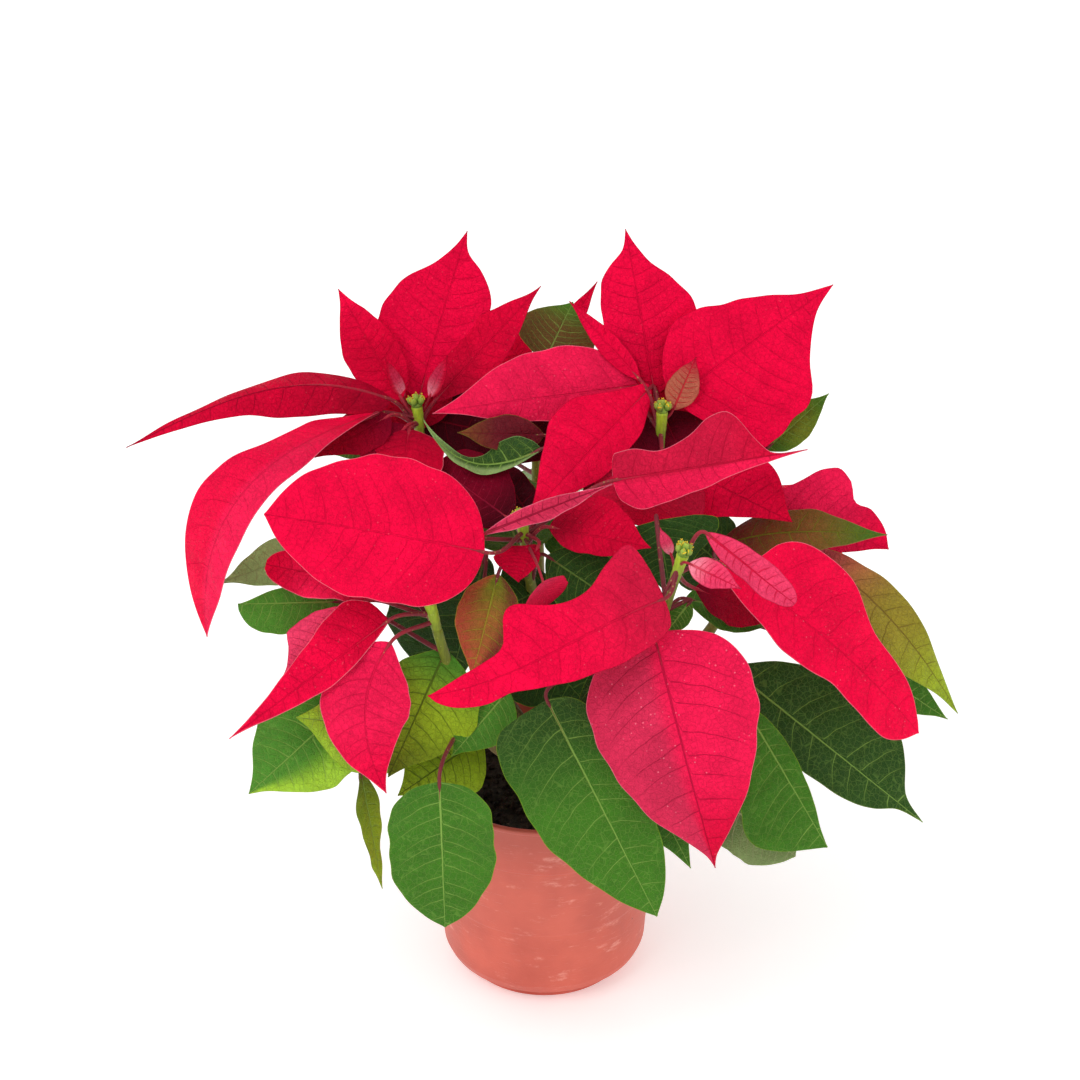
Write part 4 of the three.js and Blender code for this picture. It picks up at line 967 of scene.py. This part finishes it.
def blade_material(name, roughness, vein_depth, net, rim, specular):
    """A leaf's skin: midrib, side veins, two sizes of net between them, mottling and rim, with
    painted shade beside the side veins and in the crinkle's hollows, and pale dots of painted glint.
    """
    shade = Shade(name, Specular_IOR_Level=specular)
    flat, tone, vein = shade.trait("flat"), shade.trait("tone", "Color"), shade.trait("vein", "Color")
    specks, strength = shade.trait("tone", "Alpha"), shade.trait("vein", "Alpha")
    out = flat.split()[0]
    step, gap, margin = shade.trait("grain").split()
    aside, share, upper = shade.trait("part").split()
    wander = flat.noise(0.07) - 0.5

    side = wander.linear(0.3, step).math("PINGPONG", 0.5) * gap
    width = aside.linear(-0.25, 0.44)
    lateral = side.fade(width * 0.35, width, 1, 0) * aside.fade(0.55, 1, 1, 0.25)
    # shadow paints shade beside each side vein, where the quilting dips.
    shadow = side.fade(0, 2.6, 1, 0)
    broad = share.linear(-0.75, 0.95)
    midrib = wander.linear(0.5, out).math("ABSOLUTE").fade(broad * 0.45, broad, 1, 0)
    coarse = flat.cracks(0.34).fade(0.015, 0.085, 1, 0)
    fine = flat.cracks(1.05).fade(0.02, 0.13, 1, 0)
    netting = (coarse * 0.5).most(fine * 0.26) * net
    # veins: the midrib, side veins and net, with a tenth of the painted shade beside the side veins.
    veins = midrib.most(lateral * 0.85, netting, shadow * 0.1)

    crinkle = flat.noise(0.45, 3, 0.65)
    mottle = flat.noise(0.055, 3, 0.6).fade(0.3, 0.7, 0.9, 1.1)
    grit = flat.noise(1.3, 2, 0.7).fade(0.25, 0.75, 0.91, 1.09)
    # The crinkle factor paints shade into the hollows of the crinkled relief and light onto its ridges,
    # following the same noise that raises them.
    base = tone.scaled(mottle).scaled(grit).scaled(crinkle.fade(0.3, 0.7, 0.93, 1.07))
    base = (veins * strength).between(base, vein)
    # Pale blush dots, gathered in patches and as many as specks asks, paint the glints off tiny glands
    # on the bract.
    patches = flat.noise(0.045, 1).fade(0.42, 0.62)
    dots = flat.cells(0.3).fade(0.07, 0.16, 1, 0) * patches * (specks * 0.5)
    base = dots.between(base, PALETTE["blush"])
    base = margin.fade(0.1, 0.5, rim, 0).between(base, shade.trait("rim", "Color"))

    relief = fine.linear(0.3, midrib.most(lateral * 0.8, coarse * 0.45))
    height = crinkle.linear(0.9, relief * upper.linear(-2, 1))
    gloss = flat.noise(0.12).fade(0.3, 0.7, roughness - 0.07, roughness + 0.07)
    return shade.finish(base, gloss, height, vein_depth)


def stalk_material():
    """Petioles, green stems and buds, coloured along their length by the tone attribute."""
    shade = Shade("stalk_skin", Specular_IOR_Level=0.35, Sheen_Weight=0.05)
    place = shade.place()
    streaks = place.stretched(1, 1, 0.25).noise(900, 3).fade(0.3, 0.7, 0.8, 1.2)
    pale = place.cells(420).fade(0.1, 0.25, 0.35, 0)
    base = pale.between(shade.trait("tone", "Color").scaled(streaks), PALETTE["straw"])
    height = place.stretched(1, 1, 0.3).noise(1100, 3)
    return shade.finish(base, streaks.fade(0.8, 1.2, 0.42, 0.58), height, 0.25)


def bark_material():
    """Woody stems: brown with grey-green streaks, cracks and pale pores."""
    shade = Shade("bark_skin", Specular_IOR_Level=0.25)
    place = shade.place()
    long_grain = place.stretched(1, 1, 0.22)
    share = long_grain.noise(420, 4, 0.65).fade(0.35, 0.65)
    base = share.between(PALETTE["bark"] * 0.55, PALETTE["bark"] * 1.25)
    base = place.noise(90).fade(0.5, 0.7, 0, 0.45).between(base, PALETTE["olive"] * 0.6)
    cracks = long_grain.cracks(520).fade(0, 0.09, 1, 0)
    base = (cracks * 0.7).between(base, PALETTE["bark"] * 0.15)
    pores = place.stretched(1, 1, 2.2).cells(260).fade(0.08, 0.2, 0.7, 0)
    base = pores.between(base, PALETTE["straw"] * 0.7)
    return shade.finish(base, share.fade(0, 1, 0.85, 0.7), share + pores - cracks, 0.4)


def peat_material():
    """Moist, nearly black potting mix with brown fibres and a few pale grains."""
    shade = Shade("peat_skin", Specular_IOR_Level=0.2)
    place = shade.place()
    share = place.noise(260, 6, 0.7).fade(0.35, 0.7)
    base = share.between(colour(14, 11, 8), colour(52, 40, 30))
    fibres = place.stretched(1, 0.18, 1).noise(700, 4, 0.6)
    base = fibres.fade(0.62, 0.72, 0, 0.6).between(base, colour(106, 80, 52))
    grains = place.cells(210).fade(0.05, 0.12, 0.5, 0) * place.noise(60).fade(0.55, 0.65)
    base = grains.between(base, colour(150, 138, 110))
    height = place.noise(600, 6, 0.7) + fibres * 0.5
    return shade.finish(base, share.fade(0, 1, 0.95, 0.75), height, 0.8)


def pot_material():
    """Thin satin plastic: streaky pigment, pale scuffs, fine scratches and specks of soil."""
    shade = Shade("pot_plastic_skin", Specular_IOR_Level=0.6, IOR=1.49)
    place = shade.place()
    high = place.split()[2]
    cloud = place.noise(26, 3, 0.55).fade(0.3, 0.7)
    base = cloud.between(colour(189, 76, 57), colour(210, 94, 74))
    scuffs = place.stretched(1, 1, 2.5).noise(55, 5, 0.7).fade(0.56, 0.74, 0, 0.55)
    base = scuffs.between(base, colour(240, 168, 152))
    rough_zone = high.fade(0.044, 0.056, 1, 0.35)
    scratches = place.stretched(0.25, 0.25, 3).noise(420, 4, 0.6).fade(0.6, 0.75)
    base = (scratches * 0.3).between(base, colour(236, 150, 134))
    base = high.fade(0.096, 0.12, 0, 0.5).between(base, colour(158, 63, 47))
    specks = place.cells(95).fade(0.035, 0.06, 0.85, 0) * place.noise(40).fade(0.55, 0.6)
    base = specks.between(base, colour(104, 34, 34))
    pits = place.noise(520, 4, 0.65) * rough_zone
    relief = place.noise(34).linear(1.2, pits - scratches * 0.5)
    gloss = rough_zone.linear(0.12, cloud.fade(0, 1, 0.34, 0.46))
    return shade.finish(base, gloss, relief, 0.22)


def floor_material():
    shade = Shade("studio_floor", Roughness=0.7, Specular_IOR_Level=0.1)
    base = shade.place().noise(3).between(colour(250, 250, 250), colour(253, 253, 253))
    # The floor glows a little: painted light that lifts the shadow round the pot and adds light from
    # below.
    shade.set(Base_Color=base, Emission_Color=(1, 1, 1), Emission_Strength=FLOOR_GLOW)
    return shade.material

# ---- pot and soil

POT_SLOPE = (POT_RIM_RADIUS - POT_LIP_PROUD - POT_HEEL_RADIUS) / (POT_HEIGHT - POT_HEEL_HEIGHT)
BAND_FOOT, LIP_FOOT = POT_HEIGHT - POT_BAND_HEIGHT, POT_HEIGHT - POT_LIP_HEIGHT
POT_EDGE_ROUNDING = 0.6
POT_LONGEST_RUN = 4.0


def wall_radius(z):
    return POT_HEEL_RADIUS + POT_SLOPE * (z - POT_HEEL_HEIGHT)


# The pot's outside from its axis to the top of its lip, and its inside back to the axis.
OUTSIDE = (
    (0, 0.5), (POT_FOOT_RADIUS - 4, 0.5), (POT_FOOT_RADIUS - 3, 0), (POT_FOOT_RADIUS - 0.6, 0),
    (POT_FOOT_RADIUS, 0.6), (POT_FOOT_RADIUS, 3.4), (POT_FOOT_RADIUS + 1.6, 3.8),
    (POT_HEEL_RADIUS - POT_HEEL_ROUNDING, 9), (POT_HEEL_RADIUS, POT_HEEL_HEIGHT),
    (wall_radius(POT_STEP_HEIGHT) - POT_STEP_PROUD, POT_STEP_HEIGHT),
    (wall_radius(POT_STEP_HEIGHT), POT_STEP_HEIGHT + 0.8),
    (wall_radius(BAND_FOOT) - POT_BAND_PROUD, BAND_FOOT), (wall_radius(BAND_FOOT), BAND_FOOT + 0.8),
    (wall_radius(LIP_FOOT), LIP_FOOT), (wall_radius(LIP_FOOT) + POT_LIP_PROUD, LIP_FOOT + 0.5),
    (POT_RIM_RADIUS, POT_HEIGHT - 0.7), (POT_RIM_RADIUS - 0.7, POT_HEIGHT),
)
INSIDE = (
    (wall_radius(POT_HEIGHT) - POT_WALL, POT_HEIGHT),
    (wall_radius(BAND_FOOT) - POT_BAND_PROUD - POT_WALL, BAND_FOOT),
    (POT_HEEL_RADIUS - POT_WALL, POT_HEEL_HEIGHT),
    (POT_HEEL_RADIUS - POT_HEEL_ROUNDING - POT_WALL, 9.6),
    (POT_FOOT_RADIUS - POT_FOOT_INSET, POT_FLOOR), (0, POT_FLOOR),
)


def softened(profile, reach, steps=4):
    """The profile with each corner rounded over reach on either side."""
    points = [np.array(p, float) for p in profile]
    made = [points[0]]
    for before, corner, after in zip(points, points[1:], points[2:]):
        near = min(reach, math.dist(before, corner) * 0.45)
        far = min(reach, math.dist(after, corner) * 0.45)
        start, end = corner + unit(before - corner) * near, corner + unit(after - corner) * far
        for t in np.linspace(0, 1, steps):
            made.append(start * (1 - t) ** 2 + corner * 2 * t * (1 - t) + end * t * t)
    return [*made, points[-1]]


def filled(profile, longest):
    """The profile with its long runs split."""
    made = [profile[0]]
    for a, b in zip(profile, profile[1:]):
        pieces = max(1, math.ceil(math.dist(a, b) / longest))
        made.extend(a + (b - a) * (k + 1) / pieces for k in range(pieces))
    return np.array(made)


def lathe(profile, sides):
    """A closed solid turned about the pot's axis, from a profile that starts and ends on it."""
    angles, rows = around(sides), len(profile) - 2
    radii, heights = profile[1:-1].T[..., None]
    points = columns(radii * np.cos(angles), radii * np.sin(angles), heights)
    start, end, last = rows * sides, rows * sides + 1, (rows - 1) * sides
    faces = ring_quads(rows, sides)
    for j in range(sides):
        faces.append((start, (j + 1) % sides, j))
        faces.append((end, last + j, last + (j + 1) % sides))
    return np.concatenate([points, [(0, 0, profile[0][1]), (0, 0, profile[-1][1])]]), faces


def drilled(piece, centres, radius, depth):
    """Round holes down through the piece."""
    cutters = Skin()
    for x, y in centres:
        path = np.array([(x, y, z) for z in (-depth, -depth / 2, depth / 2, depth)])
        cutters.add(*sweep(path, np.full(len(path), radius), DRAIN_SIDES)[:2])
    cutter = placed("cutter", cutters.mesh("cutter"))
    cut = piece.modifiers.new("drain_holes", "BOOLEAN")
    cut.operation, cut.solver, cut.object = "DIFFERENCE", "EXACT", cutter
    bpy.context.view_layer.update()
    evaluated = piece.evaluated_get(bpy.context.evaluated_depsgraph_get())
    made = bpy.data.meshes.new_from_object(evaluated)
    piece.modifiers.clear()
    piece.data = made
    bpy.data.objects.remove(cutter)


def make_pot():
    """The pot, warped very slightly as thin plastic is, with its drain holes."""
    profile = softened(OUTSIDE + INSIDE, POT_EDGE_ROUNDING)
    points, faces = lathe(filled(profile, POT_LONGEST_RUN), POT_SIDES)
    x, y, z = points.T
    angles, radii, high = np.arctan2(y, x), np.hypot(x, y), z / POT_HEIGHT
    warp = 0.2 * np.sin(angles * 2 + 1) * high + 0.12 * np.sin(angles * 3 + 0.4) * high
    warp += 0.05 * np.sin(angles * 11 + z * 0.12) * smooth(high * 6)
    points[:, :2] *= (1 + warp * smooth((radii - 30) / 15) / np.maximum(radii, 1))[:, None]
    skin = Skin()
    skin.add(points, faces)
    piece = skin.make("pot_shell", pot_material(), "pot_plastic", "pot", sharp=40)
    turns = [(i + 0.5) / DRAIN_COUNT * TURN for i in range(DRAIN_COUNT)]
    centres = [(math.cos(turn) * DRAIN_RING, math.sin(turn) * DRAIN_RING) for turn in turns]
    drilled(piece, centres, DRAIN_RADIUS, POT_FLOOR * 2)


def soil_height(x, y, reach):
    """The lumpy top of the potting mix."""
    top = SOIL_TOP + SOIL_MOUND * (1 - (np.hypot(x, y) / reach) ** 2)
    lumps = 0.9 * np.sin(x * 0.31 + 1) * np.cos(y * 0.27 - 2)
    lumps += 0.5 * np.sin(x * 0.83 + y * 0.41) * np.sin(y * 0.9 + 2)
    fine = 0.3 * np.sin(x * 2.3 + 1.3 * np.sin(y * 1.1)) * np.sin(y * 2.1 + 0.7)
    return top + lumps + fine


def crumb(draw, centre, size):
    """A small irregular lump with flattish faces."""
    axis = unit(np.array([draw.uniform(-1, 1) for _ in range(3)]))
    path = centre + axis * (np.linspace(-0.9, 0.9, 5) * size * draw.uniform(0.6, 1.7))[:, None]
    radii = np.array([0.35, 0.85, 1.0, 0.8, 0.3]) * size * draw.uniform(0.6, 1.0)
    points, faces, _ = sweep(path, radii, 6)
    jitter = np.array([[draw.uniform(-1, 1) for _ in range(3)] for _ in points])
    return points + jitter * size * 0.22, faces


def make_peat():
    """The potting mix: it fills the pot's inside with a small gap all round."""
    gap = CLEARANCE * 2
    edge = wall_radius(SOIL_TOP) - POT_WALL - gap - SOIL_INSET
    band, heel, rounding, foot = INSIDE[1:5]
    side = [
        (0, POT_FLOOR + CLEARANCE), (foot[0] - gap - SOIL_INSET, POT_FLOOR + CLEARANCE),
        (rounding[0] - gap, rounding[1] + CLEARANCE), (heel[0] - gap, heel[1] + CLEARANCE),
        (band[0] - gap, band[1]),
    ]
    top = [(edge * share, SOIL_TOP) for share in np.linspace(1, 0, SOIL_RINGS)]
    points, faces = lathe(np.array(side + top), SOIL_SIDES)
    upper = points[:, 2] >= SOIL_TOP - 0.5
    points[upper, 2] = soil_height(points[upper, 0], points[upper, 1], edge)
    skin = Skin()
    skin.add(points, faces)
    draw = random.Random("peat")
    for _ in range(CRUMB_COUNT):
        angle, share = draw.uniform(0, TURN), math.sqrt(draw.uniform(0.02, 0.94))
        x, y = math.cos(angle) * edge * share, math.sin(angle) * edge * share
        size = draw.choice(CRUMB_SIZES)
        skin.add(*crumb(draw, np.array([x, y, soil_height(x, y, edge) + size * 0.2]), size))
    skin.make("peat", peat_material(), "potting_mix", "soil", sharp=50)

# ---- the plant's pieces

bract_skin = blade_material(
    "bract_velvet", roughness=0.55, vein_depth=0.5, net=0.35, rim=0.45, specular=0.04,
)
leaf_skin = blade_material(
    "leaf_satin", roughness=0.42, vein_depth=0.55, net=0.6, rim=0.4, specular=0.14,
)
stalk_skin = stalk_material()


def make_trunk():
    """The trunk, and the stub of each branch."""
    skin = Skin()
    foot, up = np.array([0, 0, SOIL_TOP - TRUNK_DEPTH + CLEARANCE]), np.array([0, 0, 1])
    path, radii = straight(foot, up, TRUNK_TOP - foot[2], TRUNK_RADIUS, TRUNK_TOP_RADIUS)
    add_stem(skin, path, radii, "trunk", ("bark", "bark"))
    for key, (_, stub) in STEMS.items():
        add_stem(skin, *stem_part(key, 0, stub, STUB_STEPS), f"stub {key}", ("bark", "bark"))
    skin.make("trunk_bark", bark_material(), "wood", "trunk")


def make_branch(key):
    """One branch: its stem, its leaves, its bracts and its buds."""
    points, stub = STEMS[key]
    stems, greens, reds, red_stalks, buds = (Skin() for _ in range(5))
    add_stem(stems, *stem_part(key, stub, 1), f"stem {key}", ("bark", "olive"))
    for spec in LEAVES[key]:
        blade, root = Blade(spec, LEAF_PAINT), bezier(points, spec["node"])[0]
        blade.add_to(greens)
        add_stalk(stems, blade, root, PETIOLE_RADIUS, ("maroon", "maroon"))
    foot, up = collar_line(key)
    path, radii = straight(
        foot, up, COLLAR_LENGTH, BRANCH_TIP_RADIUS, COLLAR_RADIUS, COLLAR_STEPS,
    )
    add_stem(red_stalks, path, radii, f"collar {key}", ("olive", "lime"))
    for i, spec in enumerate(BRACTS[key]):
        blade = Blade(spec, BRACT_PAINT)
        blade.add_to(reds)
        root = foot + up * (COLLAR_LENGTH - BRACT_DROP - i % 4 * BRACT_DROP_STEP)
        radius = SMALL_PETIOLE_RADIUS if "small" in spec else PETIOLE_RADIUS
        add_stalk(red_stalks, blade, root, radius, ("maroon", "garnet"))
    add_buds(buds, key)
    stems.make(f"stem_{key}", stalk_skin, "wood", f"leafy_stem_{key}")
    greens.make(f"leaves_{key}", leaf_skin, "green_leaf", f"leafy_stem_{key}")
    reds.make(f"bract_blades_{key}", bract_skin, "red_bract", f"bracts_{key}")
    red_stalks.make(f"bract_stalks_{key}", stalk_skin, "red_bract", f"bracts_{key}")
    buds.make(f"buds_{key}", stalk_skin, "bud", f"cyathia_{key}", sharp=80)


make_pot()
make_peat()
make_trunk()
for branch in STEMS:
    make_branch(branch)

# ---- floor, light and camera


def make_floor():
    mesh = bpy.data.meshes.new("floor")
    corners = [(x * FLOOR_REACH, y * FLOOR_REACH, 0) for x, y in ((-1, -1), (1, -1), (1, 1), (-1, 1))]
    mesh.from_pydata(corners, [], [(0, 1, 2, 3)])
    mesh.materials.append(floor_material())
    placed("floor", mesh)


def aim(thing, place, target):
    thing.location = place
    thing.rotation_euler = (Vector(target) - Vector(place)).to_track_quat("-Z", "Y").to_euler()


def make_light(name, place, size, power):
    light = bpy.data.lights.new(name, "AREA")
    light.shape, light.size, light.energy = "DISK", size, power
    aim(placed(name, light), place, LIGHT_TARGET)


def make_world():
    world = bpy.data.worlds.new("studio")
    world.use_nodes = True
    background = world.node_tree.nodes["Background"]
    background.inputs["Color"].default_value = (1, 1, 1, 1)
    background.inputs["Strength"].default_value = WORLD_STRENGTH
    bpy.context.scene.world = world


def make_camera():
    lens = bpy.data.cameras.new("camera")
    lens.lens, lens.sensor_width = CAMERA_LENS, CAMERA_SENSOR
    lens.clip_start, lens.clip_end = CAMERA_NEAR, CAMERA_FAR
    tilt = math.radians(CAMERA_ELEVATION)
    back = np.array([0, -math.cos(tilt), math.sin(tilt)])
    target = np.array(CAMERA_TARGET) * MM
    camera = placed("camera", lens)
    aim(camera, target + back * CAMERA_DISTANCE * MM, target)
    bpy.context.scene.camera = camera


make_floor()
make_world()
for name, light in LIGHTS.items():
    make_light(name, **light)
make_camera()
bpy.context.scene.view_settings.view_transform = "Standard"
